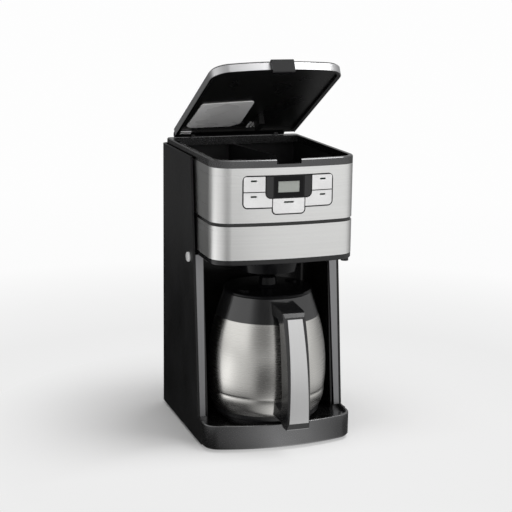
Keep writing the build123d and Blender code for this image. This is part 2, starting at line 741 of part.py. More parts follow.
with BuildPart() as upper_band:
    extrude(head_plan(deck_top, 0), amount=upper_band_top - deck_top)
    extrude(head_plan(deck_top, skin), amount=upper_band_top, mode=Mode.SUBTRACT)
    split(bisect_by=Plane.XZ.offset(-band_back), keep=Keep.TOP)
    extrude(cell_shape("field", -border - 0.1, front_plane), amount=front_reach, mode=Mode.SUBTRACT)
    extrude(cell_shape("tab", -border - 0.1, front_plane), amount=front_reach, mode=Mode.SUBTRACT)
save(upper_band, "upper_band")

with BuildPart() as control_bezel:
    extrude(cell_shape("field", -border, front_plane), amount=front_reach)
    extrude(cell_shape("tab", -border, front_plane), amount=front_reach)
    add(front_slab(slab_low, slab_high, 0.15, bezel_depth), mode=Mode.INTERSECT)
    with BuildPart(mode=Mode.PRIVATE) as pockets:
        for name in ("top_key", "low_key", "side_key"):
            extrude(cell_shape(name, pocket_in, front_plane), amount=front_reach)
        mirror(about=Plane.YZ)
        extrude(cell_shape("tab", pocket_in, front_plane), amount=front_reach)
    add(pockets.part, mode=Mode.SUBTRACT)
    # seat of the display window between the side keys
    with BuildSketch(front_plane):
        with Locations((0, (display_low + 1.5 + field_high - 1.5) / 2)):
            Rectangle(2 * (display_x - set_key_w - 1), field_high - display_low - 3.0)
    extrude(amount=front_reach, mode=Mode.SUBTRACT)
save(control_bezel, "control_bezel")


slot_h = 2.4             # indicator slot in a key


def key(name, side, slot_x=None, slot_z=None, slot_w=8.5):
    """One push key with its indicator slot; side -1 is drawn, 1 is its mirror image."""
    with BuildPart() as cap:
        extrude(cell_shape(name, key_in, front_plane), amount=front_reach)
        add(front_slab(slab_low, slab_high, key_out, key_depth), mode=Mode.INTERSECT)
        if slot_x is not None:
            with BuildSketch(front_plane):
                with Locations((slot_x, slot_z)):
                    SlotOverall(slot_w, slot_h)
            extrude(amount=front_reach, mode=Mode.SUBTRACT)
    if side < 0:
        return cap
    with BuildPart() as other:
        add(mirror(cap.part, about=Plane.YZ, mode=Mode.PRIVATE))
    return other


for side, word in ((-1, "left"), (1, "right")):
    save(key("top_key", side, -47.5, 370.5), f"top_{word}_key")
    save(key("low_key", side, -47.5, 349.9), f"low_{word}_key")
    save(key("side_key", side), f"{word}_set_key")
save(key("tab", -1, 0.0, 341.8, 14.0), "brew_key")

lcd_x, lcd_low, lcd_high = 14.7, 354.5, 369.2
with BuildPart() as display_window:
    with BuildSketch(front_plane):
        with Locations((0, (display_low + field_high) / 2)):
            Rectangle(2 * (display_x - set_key_w - 1) - 0.2, field_high - display_low - 3.2)
    extrude(amount=front_reach)
    add(front_slab(slab_low, slab_high, 0.3, 2.4), mode=Mode.INTERSECT)
    with BuildSketch(front_plane):
        with Locations((0, (lcd_low + lcd_high) / 2)):
            Rectangle(2 * lcd_x, lcd_high - lcd_low)
    extrude(amount=front_reach, mode=Mode.SUBTRACT)
save(display_window, "display_window")

with BuildPart() as lcd:
    with BuildSketch(front_plane):
        with Locations((0, (lcd_low + lcd_high) / 2)):
            Rectangle(2 * lcd_x - 0.2, lcd_high - lcd_low - 0.2)
    extrude(amount=front_reach)
    add(front_slab(slab_low, slab_high, -0.4, bezel_depth), mode=Mode.INTERSECT)
save(lcd, "lcd")

board_back = head_corner_y - head_bow + bezel_depth + 5.4
board_t = 1.6
post_w, post_h = 2.4, 5.0
with BuildPart() as control_board:
    with BuildSketch(Plane.XZ.offset(-board_back)):
        with Locations((0, (field_low + field_high) / 2)):
            Rectangle(2 * panel_x + post_w, field_high - field_low - 2)
    extrude(amount=board_t)
    # posts reach forward to the back of the bezel
    with BuildSketch(Plane.XZ.offset(-board_back)):
        with Locations(*[(x, z) for x in (-panel_x, panel_x) for z in (field_low + 9, field_high - 9)]):
            Rectangle(post_w, post_h)
    extrude(amount=20)
    with BuildPart(mode=Mode.PRIVATE) as behind:
        extrude(head_plan(slab_low, bezel_depth), amount=slab_high - slab_low)
    add(behind.part, mode=Mode.INTERSECT)
save(control_board, "control_board")

# ================================================================ glossy rim on top
rim_wall = 6.0
rim_back_ledge = 20.0
ledge_back = -99.0
notch_half = 17.0
notch_floor = 391.8
ledge_t = 1.25
lid_hinge_in, lid_hinge_up = 12.0, 4.3   # lid hinge in from the back and above the rim
lid_hinge_y = rear_y - lid_hinge_in
lid_hinge_z = rim_top + lid_hinge_up
lid_open = 28.4                    # how far the lid stands open, in degrees
lid_pin_r = 2.0
ear_in, ear_w = 39.6, 6.0          # hinge ears in from the sides of the head
ear_x0 = head_half - ear_in
ear_x1 = ear_x0 + ear_w
ear_r = 5.0
knuckle_w = 10.0

with BuildPart() as top_rim:
    extrude(head_plan(upper_band_top, 0), amount=rim_top - upper_band_top)
    extrude(head_plan(upper_band_top, rim_wall, head_back - rim_back_ledge), amount=20, mode=Mode.SUBTRACT)
    # ledge over the front walls of the tubs
    with BuildSketch(Plane.XY.offset(upper_band_top)):
        add(bowed_outline(head_half, head_corner_y, head_bow, head_corner_r, head_back, rim_wall - 1))
        with Locations((0, ledge_back)):
            Rectangle(2 * body_half, 300, align=(Align.CENTER, Align.MIN), mode=Mode.SUBTRACT)
    extrude(amount=ledge_t)
    chamfer(top_rim.faces().sort_by(Axis.Z)[-1].outer_wire().edges(), length=1.2)
    # latch notch at the front
    with BuildSketch(front_plane):
        with Locations((0, notch_floor)):
            Rectangle(2 * notch_half, 20, align=(Align.CENTER, Align.MIN))
    extrude(amount=front_reach, mode=Mode.SUBTRACT)
    # hinge ears
    for side in (-1, 1):
        with BuildSketch(Plane.YZ.offset(side * ear_x0)):
            with Locations((lid_hinge_y, lid_hinge_z)):
                Circle(ear_r)
            with Locations((lid_hinge_y, rim_top - 1)):
                Rectangle(2 * ear_r, lid_hinge_z - rim_top + 1, align=(Align.CENTER, Align.MIN))
        extrude(amount=side * (ear_x1 - ear_x0))
    with BuildSketch(Plane.YZ.offset(-body_half)):
        with Locations((lid_hinge_y, lid_hinge_z)):
            Circle(lid_pin_r + fit)
    extrude(amount=2 * body_half, mode=Mode.SUBTRACT)
save(top_rim, "top_rim")

# ================================================================ water reservoir and grinder chamber
tub_in = inner_in + 0.5
tub_t = 2.0
tub_front = -101.0                 # the tubs end behind the control board
tub_top = upper_band_top - gap
tub_floor = 327.0
chamber_floor = 345.0
well_floor = 160.0
divider = [(motor_x - 56.5, 140.0), (motor_x - 32, -4.0), (motor_x - 66.5, -125.0)]
divider_gap = 0.3
bowl_r = 37.0
bowl_floor = 317.5
blade_z = 324.0
spout_back = motor_y - bowl_r + 8   # where the chute meets the bowl
spout_w, spout_h = 16.0, 18.0
switch_y, switch_w = -48.0, 30.0
switch_t, switch_h = 9.0, 12.0
shaft_r = 3.0


def tub_plan(z, side, inset):
    """Half of the opening under the lid: side -1 holds water, 1 holds the grinder."""
    with BuildSketch(Plane.XY.offset(z)) as plan:
        add(bowed_outline(head_half, head_corner_y, head_bow, head_corner_r, head_back - wall - 0.5, tub_in,
                          head_rear_r))
        with Locations((0, tub_front)):
            Rectangle(2 * body_half, 60, align=(Align.CENTER, Align.MAX), mode=Mode.SUBTRACT)
        with BuildSketch(mode=Mode.PRIVATE) as half:
            with BuildLine():
                Polyline(*divider, (side * 130, -125), (side * 130, 140), close=True)
            make_face()
            offset(amount=-divider_gap, kind=Kind.INTERSECTION, mode=Mode.REPLACE)
        add(half.sketch, mode=Mode.INTERSECT)
        if inset > 0:
            offset(amount=-inset, kind=Kind.INTERSECTION, mode=Mode.REPLACE)
    return plan.sketch


with BuildPart() as reservoir:
    extrude(tub_plan(tub_floor, -1, 0), amount=tub_top - tub_floor)
    with BuildSketch(Plane.XY.offset(well_floor)):
        with Locations(((well_x0 + well_x1) / 2, (well_y0 + well_back) / 2)):
            RectangleRounded(well_x1 - well_x0, well_back - well_y0 - 0.5, 6)
    extrude(amount=tub_floor - well_floor)
    extrude(tub_plan(tub_floor + tub_t, -1, tub_t), amount=tub_top, mode=Mode.SUBTRACT)
    with BuildSketch(Plane.XY.offset(well_floor + tub_t)):
        with Locations(((well_x0 + well_x1) / 2, (well_y0 + well_back) / 2)):
            RectangleRounded(well_x1 - well_x0 - 2 * tub_t, well_back - well_y0 - 0.5 - 2 * tub_t, 4)
    extrude(amount=tub_floor - well_floor, mode=Mode.SUBTRACT)
    # outlet spigot
    turned((inlet_x, inlet_y, well_floor - 10), hose_bore_r - fit, 10)
    with Locations((inlet_x, inlet_y, well_floor)):
        Cylinder(1.6, 40, mode=Mode.SUBTRACT)
save(reservoir, "reservoir")

with BuildPart() as grinder_chamber:
    extrude(tub_plan(chamber_floor, 1, 0), amount=tub_top - chamber_floor)
    turned((motor_x, motor_y, bowl_floor), bowl_r, chamber_floor - bowl_floor)
    extrude(tub_plan(chamber_floor + tub_t, 1, tub_t), amount=tub_top, mode=Mode.SUBTRACT)
    with Locations((motor_x, motor_y, bowl_floor + tub_t)):
        Cylinder(bowl_r - tub_t, 60, align=(Align.CENTER, Align.CENTER, Align.MIN), mode=Mode.SUBTRACT)
    # way out of the bowl into the chute, low on its front side
    with BuildSketch(Plane.XZ.offset(-spout_back)):
        with Locations((chute_x + 2, (bowl_floor + tub_t + chamber_floor) / 2)):
            Rectangle(spout_w, spout_h)
    extrude(amount=14, mode=Mode.SUBTRACT)
    with Locations((motor_x, motor_y, bowl_floor)):
        Cylinder(shaft_r + fit, 20, mode=Mode.SUBTRACT)
    # lid switch housing on the right wall
    with BuildSketch(Plane.XY.offset(tub_top - switch_h - 2)):
        with Locations((head_half - tub_in - tub_t - switch_t / 2 + 0.5, switch_y)):
            Rectangle(switch_t, switch_w)
    extrude(amount=switch_h)
save(grinder_chamber, "grinder_chamber")

with BuildPart() as grounds_chute:
    chute_front = chute_y - chute_d / 2
    chute_top = chamber_floor - gap
    with BuildSketch(Plane.YZ.offset(chute_x)):
        with BuildLine():
            Polyline((spout_back, bowl_floor + 2), (spout_back, chute_top), (chute_front, chute_top),
                     (chute_front, deck_top), (chute_front + chute_d, deck_top), close=True)
        make_face()
    extrude(amount=chute_w / 2, both=True)
    with BuildSketch(Plane.YZ.offset(chute_x)):
        with BuildLine():
            Polyline((spout_back + 1, bowl_floor + 4.2), (spout_back + 1, chute_top - 1.6),
                     (chute_front + 1.6, chute_top - 1.6), (chute_front + 1.6, deck_top - 1),
                     (chute_front + chute_d - 3, deck_top - 1), (chute_front + chute_d + 1, deck_top + 2.2), close=True)
        make_face()
    extrude(amount=chute_w / 2 - 1.6, both=True, mode=Mode.SUBTRACT)
    with Locations((motor_x, motor_y, bowl_floor)):
        Cylinder(bowl_r + gap, 80, mode=Mode.SUBTRACT)
save(grounds_chute, "grounds_chute")

# grinder motor under the bowl and its two-bladed cutter
motor_top = deck_z - gap
with BuildPart() as grinder_motor:
    turned((motor_x, motor_y, motor_top - 68), motor_r, 60)
    turned((motor_x, motor_y, motor_top - 8), motor_r - 5, 8)
    turned((motor_x, motor_y, motor_top - 74), 9, 6)
    chamfer(grinder_motor.edges().filter_by(GeomType.CIRCLE).group_by(Axis.Z)[1], length=1.5)
    with Locations((motor_x, motor_y, motor_top - 4)):
        Cylinder(shaft_r + fit, 30, mode=Mode.SUBTRACT)
save(grinder_motor, "grinder_motor")

with BuildPart() as grinder_blade:
    turned((motor_x, motor_y, motor_top - 14), shaft_r, blade_z + 3 - motor_top + 14)
    turned((motor_x, motor_y, bowl_floor + tub_t + 0.3), 5.5, blade_z + 3 - bowl_floor - tub_t - 0.3)
    with BuildSketch(Plane.XY.offset(blade_z)):
        with Locations((motor_x, motor_y)):
            SlotOverall(58, 9, rotation=35)
    extrude(amount=1.6)
    turned((motor_x, motor_y, blade_z + 1.6), 6.5, 5)
    fillet(grinder_blade.edges().group_by(Axis.Z)[-1], radius=2)
save(grinder_blade, "grinder_blade")


heater_mid_z = (heater_z + base_deck) / 2
valve_top_z, valve_body_h = 120.0, 22.0
riser_z = deck_top + hose_r + 1.0
bend = 14.0
with BuildPart() as check_valve:
    turned((inlet_x, inlet_y, valve_top_z - valve_body_h), 7.0, valve_body_h)
    turned((inlet_x, inlet_y, valve_top_z), hose_bore_r - fit, 7)
    turned((inlet_x, inlet_y, valve_top_z - valve_body_h - 7), hose_bore_r - fit, 7)
    with Locations((inlet_x, inlet_y, valve_top_z - valve_body_h / 2)):
        Cylinder(1.6, 60, mode=Mode.SUBTRACT)
save(check_valve, "check_valve")

# reservoir to check valve, check valve to heater, heater to spray head
hose_routes = [
    [(inlet_x, inlet_y, valve_top_z - valve_body_h), (inlet_x, inlet_y, heater_mid_z),
     (inlet_x, heater_back, heater_mid_z)],
    [(heater_mid_r, heater_back, heater_mid_z), (heater_mid_r, riser_y, heater_mid_z),
     (riser_x, riser_y, heater_mid_z), (riser_x, riser_y, riser_z), (riser_x, carafe_y + spray_r, riser_z)],
]
with BuildPart() as water_hoses:
    with BuildSketch(Plane.XY.offset(valve_top_z)):
        with Locations((inlet_x, inlet_y)):
            Circle(hose_r)
            Circle(hose_bore_r, mode=Mode.SUBTRACT)
    extrude(amount=well_floor - valve_top_z)
    for route in hose_routes:
        with BuildLine() as path:
            FilletPolyline(*route, radius=bend)
        with BuildSketch(Plane(origin=path.line @ 0, z_dir=path.line % 0)):
            Circle(hose_r)
            Circle(hose_bore_r, mode=Mode.SUBTRACT)
        sweep(path=path.line)
save(water_hoses, "water_hoses")

# ================================================================ lid, drawn open about its hinge
open_sin = math.sin(math.radians(lid_open))
open_cos = math.cos(math.radians(lid_open))
hinge_point = (0, lid_hinge_y, lid_hinge_z)
lid_flat = Plane(origin=hinge_point, x_dir=(1, 0, 0), z_dir=(0, open_sin, open_cos))
lid_side = Plane(origin=hinge_point, x_dir=(0, open_cos, -open_sin), z_dir=(1, 0, 0))

lid_side_in, lid_front_in = 8.6, 5.9     # the closed lid stands in from the head
lid_half = head_half - lid_side_in
lid_corner_y = head_corner_y - lid_hinge_y + lid_front_in   # along the lid, from its hinge
lid_bow = head_bow
lid_corner_r = head_corner_r - 1.5
lid_rear = -6.0
lid_low = 0.5 - lid_hinge_up       # lower edge of the skirt, clear of the rim when closed
band_high = 6.2                    # upper edge of the bright band
crown_high = 8.6
lid_wall = 2.4
liner_t = 1.6
latch_half = 15.5
tab_depth = 14.0                   # tab under the lid that works a switch
latch_pocket = 9.0
barrel_r = 4.0


def lid_plan(z, inset=0.0, rear_inset=0.0):
    """Plan of the lid in its own plane."""
    with BuildSketch(lid_flat.offset(z)) as plan:
        add(bowed_outline(lid_half, lid_corner_y, lid_bow, lid_corner_r, lid_rear - inset - rear_inset, inset))
    return plan.sketch


def latch_space(side_gap):
    """Pocket in the front of the lid that guides the latch."""
    with BuildPart() as space:
        with BuildSketch(lid_flat.offset(-1.5 - side_gap)):
            with Locations((0, lid_corner_y - lid_bow + latch_pocket)):
                Rectangle(2 * (latch_half - 3 + side_gap), 40, align=(Align.CENTER, Align.MAX))
        extrude(amount=6 + 2 * side_gap)
    return space.part


slit_places = [(13.0, -33.0), (18.6, -33.0), (24.2, -33.0)]
slit_w, slit_len = 2.2, 20.0


def slits(low, height):
    """Steam slits right through the lid."""
    with BuildPart() as cut:
        with BuildSketch(lid_flat.offset(low)):
            with Locations(*slit_places):
                SlotOverall(slit_len, slit_w, rotation=90)
        extrude(amount=height)
    return cut.part


with BuildPart() as lid_shell:
    extrude(lid_plan(lid_low + 0.5, skin), amount=band_high - lid_low - 0.5)
    extrude(lid_plan(band_high, 0.0, -skin), amount=crown_high - band_high)
    chamfer(lid_shell.faces().sort_by(Axis(hinge_point, lid_flat.z_dir))[-1].edges(), length=2.0)
    extrude(lid_plan(lid_low, skin + lid_wall, lid_wall), amount=4.2 - lid_low, mode=Mode.SUBTRACT)
    # hinge barrel along the rear, cut at the two ears
    for x0, x1 in ((-lid_half + skin + 0.2, -ear_x1 - gap), (-ear_x0 + gap, ear_x0 - gap), (ear_x1 + gap, ear_x1 + knuckle_w)):
        with BuildSketch(lid_side.offset(x0)):
            Circle(barrel_r)
            with Locations((-5, 0.5)):
                Rectangle(10, 7)
        extrude(amount=x1 - x0)
    with BuildSketch(lid_side.offset(-body_half)):
        Circle(lid_pin_r + press)
    extrude(amount=2 * body_half, mode=Mode.SUBTRACT)
    # front pocket of the latch
    with BuildSketch(lid_flat.offset(lid_low)):
        with Locations((0, lid_corner_y - lid_bow + 4)):
            Rectangle(2 * (latch_half + gap), 20, align=(Align.CENTER, Align.MAX))
    extrude(amount=20, mode=Mode.SUBTRACT)
    add(latch_space(gap), mode=Mode.SUBTRACT)
    add(slits(0, 20), mode=Mode.SUBTRACT)
save(lid_shell, "lid_shell")

with BuildPart() as lid_band:
    extrude(lid_plan(lid_low), amount=band_high - lid_low)
    extrude(lid_plan(lid_low, skin, -2 * skin), amount=band_high - lid_low, mode=Mode.SUBTRACT)
    with BuildSketch(lid_flat.offset(lid_low)):
        with Locations((0, lid_corner_y - lid_bow + 12)):
            Rectangle(2 * (latch_half + gap), 30, align=(Align.CENTER, Align.MAX))
    extrude(amount=20, mode=Mode.SUBTRACT)
save(lid_band, "lid_band")

with BuildPart() as lid_liner:
    liner_in = skin + lid_wall + 0.1
    extrude(lid_plan(lid_low + 0.5, liner_in, lid_wall + 0.1), amount=liner_t - lid_low - 0.5)
    extrude(lid_plan(lid_low, liner_in + 2, lid_wall + 2), amount=-lid_low, mode=Mode.SUBTRACT)
    # tab that works the lid switch and the rib beside it
    with BuildSketch(lid_flat.offset(0)):
        with Locations((20.5, -57)):
            RectangleRounded(8, 26, 2)
    extrude(amount=-tab_depth)
    with BuildSketch(lid_flat.offset(lid_low)):
        with Locations((0, lid_corner_y - lid_bow + latch_pocket + 2)):
            Rectangle(2 * (latch_half + 2), 40, align=(Align.CENTER, Align.MAX))
    extrude(amount=20, mode=Mode.SUBTRACT)
    add(slits(-1, 20), mode=Mode.SUBTRACT)
save(lid_liner, "lid_liner")

plate_side = 11.0 - lid_half
plate_rear, plate_front = lid_rear - 28, lid_rear - 108
with BuildPart() as lid_plate:
    with BuildSketch(lid_flat.offset(0)) as plate_plan:
        with BuildLine():
            Polyline((plate_side, plate_rear), (plate_side + 3, plate_front), (-4, plate_front - 8),
                     (-2, plate_rear - 8), (-14, plate_rear + 4), (plate_side + 7, plate_rear + 6), close=True)
        make_face()
        fillet(plate_plan.vertices(), 5)
    extrude(amount=-1.2)
save(lid_plate, "lid_plate")

with BuildPart() as lid_hinge_pins:
    for side in (-1, 1):
        with BuildSketch(lid_side.offset(side * (ear_x0 - knuckle_w + 0.5))):
            Circle(lid_pin_r)
        extrude(amount=side * (2 * knuckle_w + ear_w - 1))
save(lid_hinge_pins, "lid_hinge_pins")

with BuildPart() as lid_latch:
    with BuildSketch(lid_side.offset(-latch_half)) as hook:
        front = lid_corner_y - lid_bow - 5.5
        with BuildLine():
            Polyline((front, -8.5), (front + 1.5, -9.5), (front + 8.5, -9.5), (front + 8.5, -7.5), (front + 5.0, -6.0),
                     (front + 5.0, lid_low - 1), (front + 6.7, lid_low), (front + 6.7, crown_high - 1.2),
                     (front + 5.5, crown_high), (front + 1.5, crown_high), (front, crown_high - 2), close=True)
        make_face()
    extrude(amount=2 * latch_half)
    with BuildSketch(lid_flat.offset(-1.5)):
        with Locations((0, front + 5)):
            Rectangle(2 * (latch_half - 3), latch_pocket - 2.6, align=(Align.CENTER, Align.MIN))
    extrude(amount=6)
save(lid_latch, "lid_latch")

# ================================================================ carafe
steel_t = 1.2
seam_z, shoulder_z, collar_top = 71.5, 173.8, 206.9
base_r, seam_r, shoulder_r = 73.8, 80.2, 70.7
belly_z, belly_r = 116.0, 81.4
base_ring_top = 45.9
heel_out, heel_up = 4.6, 10.0      # middle of the rounded heel, out and up from the foot
neck_r = 53.0
collar_t = 4.0
collar_r = 61.1
liner_in, neck_t = 6.0, 1.0
liner_low = base_ring_top + steel_t + 4

with BuildPart() as carafe_body:
    with BuildSketch(axis_plane):
        with BuildLine():
            Line((0, base_ring_top), (base_r, base_ring_top))
            ThreePointArc((base_r, base_ring_top), (base_r + heel_out, base_ring_top + heel_up), (seam_r, seam_z))
            ThreePointArc((seam_r, seam_z), (belly_r, belly_z), (shoulder_r, shoulder_z))
            Line((shoulder_r, shoulder_z), (shoulder_r - steel_t, shoulder_z))
            ThreePointArc((shoulder_r - steel_t, shoulder_z), (belly_r - steel_t, belly_z), (seam_r - steel_t, seam_z))
            ThreePointArc((seam_r - steel_t, seam_z), (base_r + heel_out - steel_t, base_ring_top + heel_up + 0.6),
                          (base_r - 1, base_ring_top + steel_t))
            Polyline((base_r - 1, base_ring_top + steel_t), (0, base_ring_top + steel_t), (0, base_ring_top))
        make_face()
    revolve(axis=carafe_axis)
    # rolled seam above the foot
    with BuildSketch(axis_plane):
        with Locations((seam_r, seam_z)):
            Rectangle(0.5, 0.8)
    revolve(axis=carafe_axis, mode=Mode.SUBTRACT)
save(carafe_body, "carafe_body")

with BuildPart() as carafe_liner:
    with BuildSketch(axis_plane):
        with BuildLine():
            Polyline((0, liner_low), (base_r - liner_in, liner_low), (seam_r - liner_in, seam_z + 3))
            ThreePointArc((seam_r - liner_in, seam_z + 3), (belly_r - liner_in, belly_z),
                          (shoulder_r - liner_in - 1.5, shoulder_z - 2))
            Polyline((shoulder_r - liner_in - 1.5, shoulder_z - 2), (neck_r, shoulder_z + 6), (neck_r, collar_top),
                     (neck_r - neck_t, collar_top), (neck_r - neck_t, shoulder_z + 5.6),
                     (shoulder_r - liner_in - 2.7, shoulder_z - 2))
            ThreePointArc((shoulder_r - liner_in - 2.7, shoulder_z - 2), (belly_r - liner_in - neck_t, belly_z),
                          (seam_r - liner_in - neck_t, seam_z + 3))
            Polyline((seam_r - liner_in - neck_t, seam_z + 3), (base_r - liner_in - 0.6, liner_low + neck_t),
                     (0, liner_low + neck_t), (0, liner_low))
        make_face()
    revolve(axis=carafe_axis)
    # spacer that centres the inner wall on the outer one
    turned((0, carafe_y, base_ring_top + steel_t), 6, 4)
save(carafe_liner, "carafe_liner")

with BuildPart() as carafe_base:
    turned((0, carafe_y, carafe_z), base_r - 0.6, base_ring_top - carafe_z)
    fillet(carafe_base.edges().group_by(Axis.Z)[0], radius=1.5)
    with Locations((0, carafe_y, carafe_z)):
        Cylinder(base_r - 8, 2, mode=Mode.SUBTRACT)
save(carafe_base, "carafe_base")

with BuildPart() as carafe_collar:
    with BuildSketch(axis_plane):
        with BuildLine():
            Polyline((shoulder_r + 0.3, shoulder_z), (collar_r, collar_top - 1), (collar_r - 1, collar_top),
                     (neck_r + 0.1, collar_top), (neck_r + 0.1, shoulder_z + 9), (shoulder_r - collar_t, shoulder_z),
                     close=True)
        make_face()
    revolve(axis=carafe_axis)
save(carafe_collar, "carafe_collar")

handle_half = 15.3
handle_top = 205.0                 # upper arm where it leaves the collar
handle_low = 46.1
front_high = (-149.6, 193.7)       # front of the grip as (y, z): top, middle and foot
front_mid = (-169.4, 128.6)
front_low = (-173.3, 57.0)
back_high = (-134.5, 180.0)        # back of the grip, facing the body
back_mid = (-143.0, 128.6)
back_low = (-149.5, 76.0)
arm_y = carafe_y - 40.0            # both arms end inside this, then are cut to the carafe
arm_under = handle_top - 18.0      # underside of the upper arm
web_top, web_low = 69.0, 50.8      # lower arm at the body
grip_chamfer = 2.0
insert_t = 1.6
insert_proud = 0.3
insert_high, insert_low = 191.5, 56.5
insert_top_half, insert_low_half = 10.2, 13.3
insert_gap = 0.2
lid_r = collar_r + 0.2


def grip_line(behind):
    """Top, middle and foot of the bright strip's line, this far behind the front of the grip."""
    (y1, z1), (y2, z2), (y3, z3) = front_high, front_mid, front_low
    turn = 2 * (y1 * (z2 - z3) + y2 * (z3 - z1) + y3 * (z1 - z2))
    q1, q2, q3 = y1 * y1 + z1 * z1, y2 * y2 + z2 * z2, y3 * y3 + z3 * z3
    centre_y = (q1 * (z2 - z3) + q2 * (z3 - z1) + q3 * (z1 - z2)) / turn
    centre_z = (q1 * (y3 - y2) + q2 * (y1 - y3) + q3 * (y2 - y1)) / turn
    radius = math.hypot(y1 - centre_y, z1 - centre_z) - behind
    heights = (insert_high + insert_gap, (insert_high + insert_low) / 2, insert_low - insert_gap)
    return [(centre_y - math.sqrt(radius ** 2 - (z - centre_z) ** 2), z) for z in heights]


def strip(depth, proud, margin):
    """The bright strip on the grip, or with a margin the recess that it lies in."""
    behind, ahead = grip_line(depth), grip_line(-proud)
    with BuildPart() as solid:
        with BuildSketch(Plane.YZ.offset(-handle_half)):
            with BuildLine():
                ThreePointArc(*behind)
                Line(behind[2], ahead[2])
                ThreePointArc(*reversed(ahead))
                Line(ahead[0], behind[0])
            make_face()
        extrude(amount=2 * handle_half)
        with BuildSketch(Plane.XZ.offset(-arm_y)):
            with BuildLine():
                Polyline((-insert_low_half - margin, insert_low - margin), (insert_low_half + margin, insert_low - margin),
                         (insert_top_half + margin, insert_high + margin), (-insert_top_half - margin, insert_high + margin),
                         close=True)
            make_face()
        extrude(amount=-front_low[0], mode=Mode.INTERSECT)
    return solid.part


with BuildPart() as carafe_handle:
    with BuildSketch(Plane.YZ.offset(-handle_half)):
        with BuildLine():
            Polyline((arm_y, handle_top), (-139.0, 200.3), (-145.5, 198.6), front_high)
            ThreePointArc(front_high, front_mid, front_low)
            Polyline(front_low, (front_low[0] + 3.0, handle_low + 2.0), (front_low[0] + 6.0, handle_low),
                     (-153.0, handle_low), (-146.0, web_low), (carafe_y - base_r + 4, web_low),
                     (carafe_y - base_r + 4, web_top), (carafe_y - seam_r, web_top), (-141.0, web_top - 5.5), back_low)
            ThreePointArc(back_low, back_mid, back_high)
            Polyline(back_high, (-127.5, arm_under), (arm_y, arm_under), (arm_y, handle_top))
        make_face()
    extrude(amount=2 * handle_half)
    grip_edges = [e for e in carafe_handle.edges()
                  if e.center().Y < front_high[0] + 1 and abs(e.center().X) > handle_half - 0.1
                  and e.length > grip_chamfer * 10]
    chamfer(grip_edges, length=grip_chamfer)
    # cut to the carafe wall, the collar and the lid
    with BuildSketch(axis_plane):
        with BuildLine():
            Line((0, 0), (base_r, 0))
            Line((base_r, 0), (base_r, base_ring_top))
            ThreePointArc((base_r, base_ring_top), (base_r + heel_out + 0.1, base_ring_top + heel_up),
                          (seam_r + 0.1, seam_z))
            ThreePointArc((seam_r + 0.1, seam_z), (belly_r + 0.1, belly_z), (shoulder_r + 0.4, shoulder_z))
            Polyline((shoulder_r + 0.4, shoulder_z), (collar_r + 0.1, collar_top - 1), (lid_r + gap, collar_top - 1),
                     (lid_r + gap, handle_top + 25), (0, handle_top + 25), (0, 0))
        make_face()
    revolve(axis=carafe_axis, mode=Mode.SUBTRACT)
    # recess for the bright strip
    add(strip(insert_t + 0.1, 12.0, insert_gap), mode=Mode.SUBTRACT)
save(carafe_handle, "carafe_handle")

with BuildPart() as handle_insert:
    add(strip(insert_t, insert_proud, 0.0))
save(handle_insert, "handle_insert")

# carafe lid: a flat cap with a plug, a drip funnel in its hub and two lugs; it turns in the neck
plug_r = neck_r - neck_t - gap - 0.4
plug_low = collar_top - 15.0
funnel_r = 4.0
lid_base_z = collar_top + gap
cap_t = 3.4
hub_r = 11.5
hub_top = valve_low - 2.6          # just below the drip valve
seal_level = collar_top - 6.0
seal_h = 2.4
lug_in = 16.0
with BuildPart() as carafe_lid:
    with BuildSketch(axis_plane):
        with BuildLine():
            Polyline((funnel_r, plug_low), (plug_r - 2, plug_low), (plug_r, plug_low + 4), (plug_r, lid_base_z),
                     (lid_r, lid_base_z), (lid_r, lid_base_z + cap_t - 1.2), (lid_r - 1.2, lid_base_z + cap_t),
                     (hub_r + 6, lid_base_z + cap_t + 1), (hub_r + 1, lid_base_z + cap_t + 4), (hub_r, hub_top - 2),
                     (hub_r - 2, hub_top), (funnel_r, hub_top - 6), (funnel_r, plug_low))
        make_face()
    revolve(axis=carafe_axis)
    with BuildSketch(axis_plane):
        with Locations((plug_r, seal_level)):
            Rectangle(1.8, seal_h + 0.2)
    revolve(axis=carafe_axis, mode=Mode.SUBTRACT)
    # low lugs for the thumb and a finger
    with BuildSketch(Plane.XY.offset(lid_base_z + 1)):
        with Locations((0, carafe_y)):
            with PolarLocations(lid_r - lug_in, 2, start_angle=25):
                RectangleRounded(9, 18, 3)
    extrude(amount=cap_t + 1.2)
save(carafe_lid, "carafe_lid")

with BuildPart() as lid_seal:
    with BuildSketch(axis_plane):
        with Locations((plug_r - 0.2, seal_level)):
            Rectangle(1.2, seal_h)
    revolve(axis=carafe_axis)
    fillet(lid_seal.edges().filter_by(GeomType.CIRCLE).group_by(SortBy.RADIUS)[-1], radius=0.3)
save(lid_seal, "lid_seal")
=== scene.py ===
"""Looks for a drip coffee maker with a built-in grinder and a steel carafe.

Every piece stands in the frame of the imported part: metres, front towards -Y, Z up.
"""
import json
import math

import bmesh
import bpy
from mathutils import Matrix, Vector

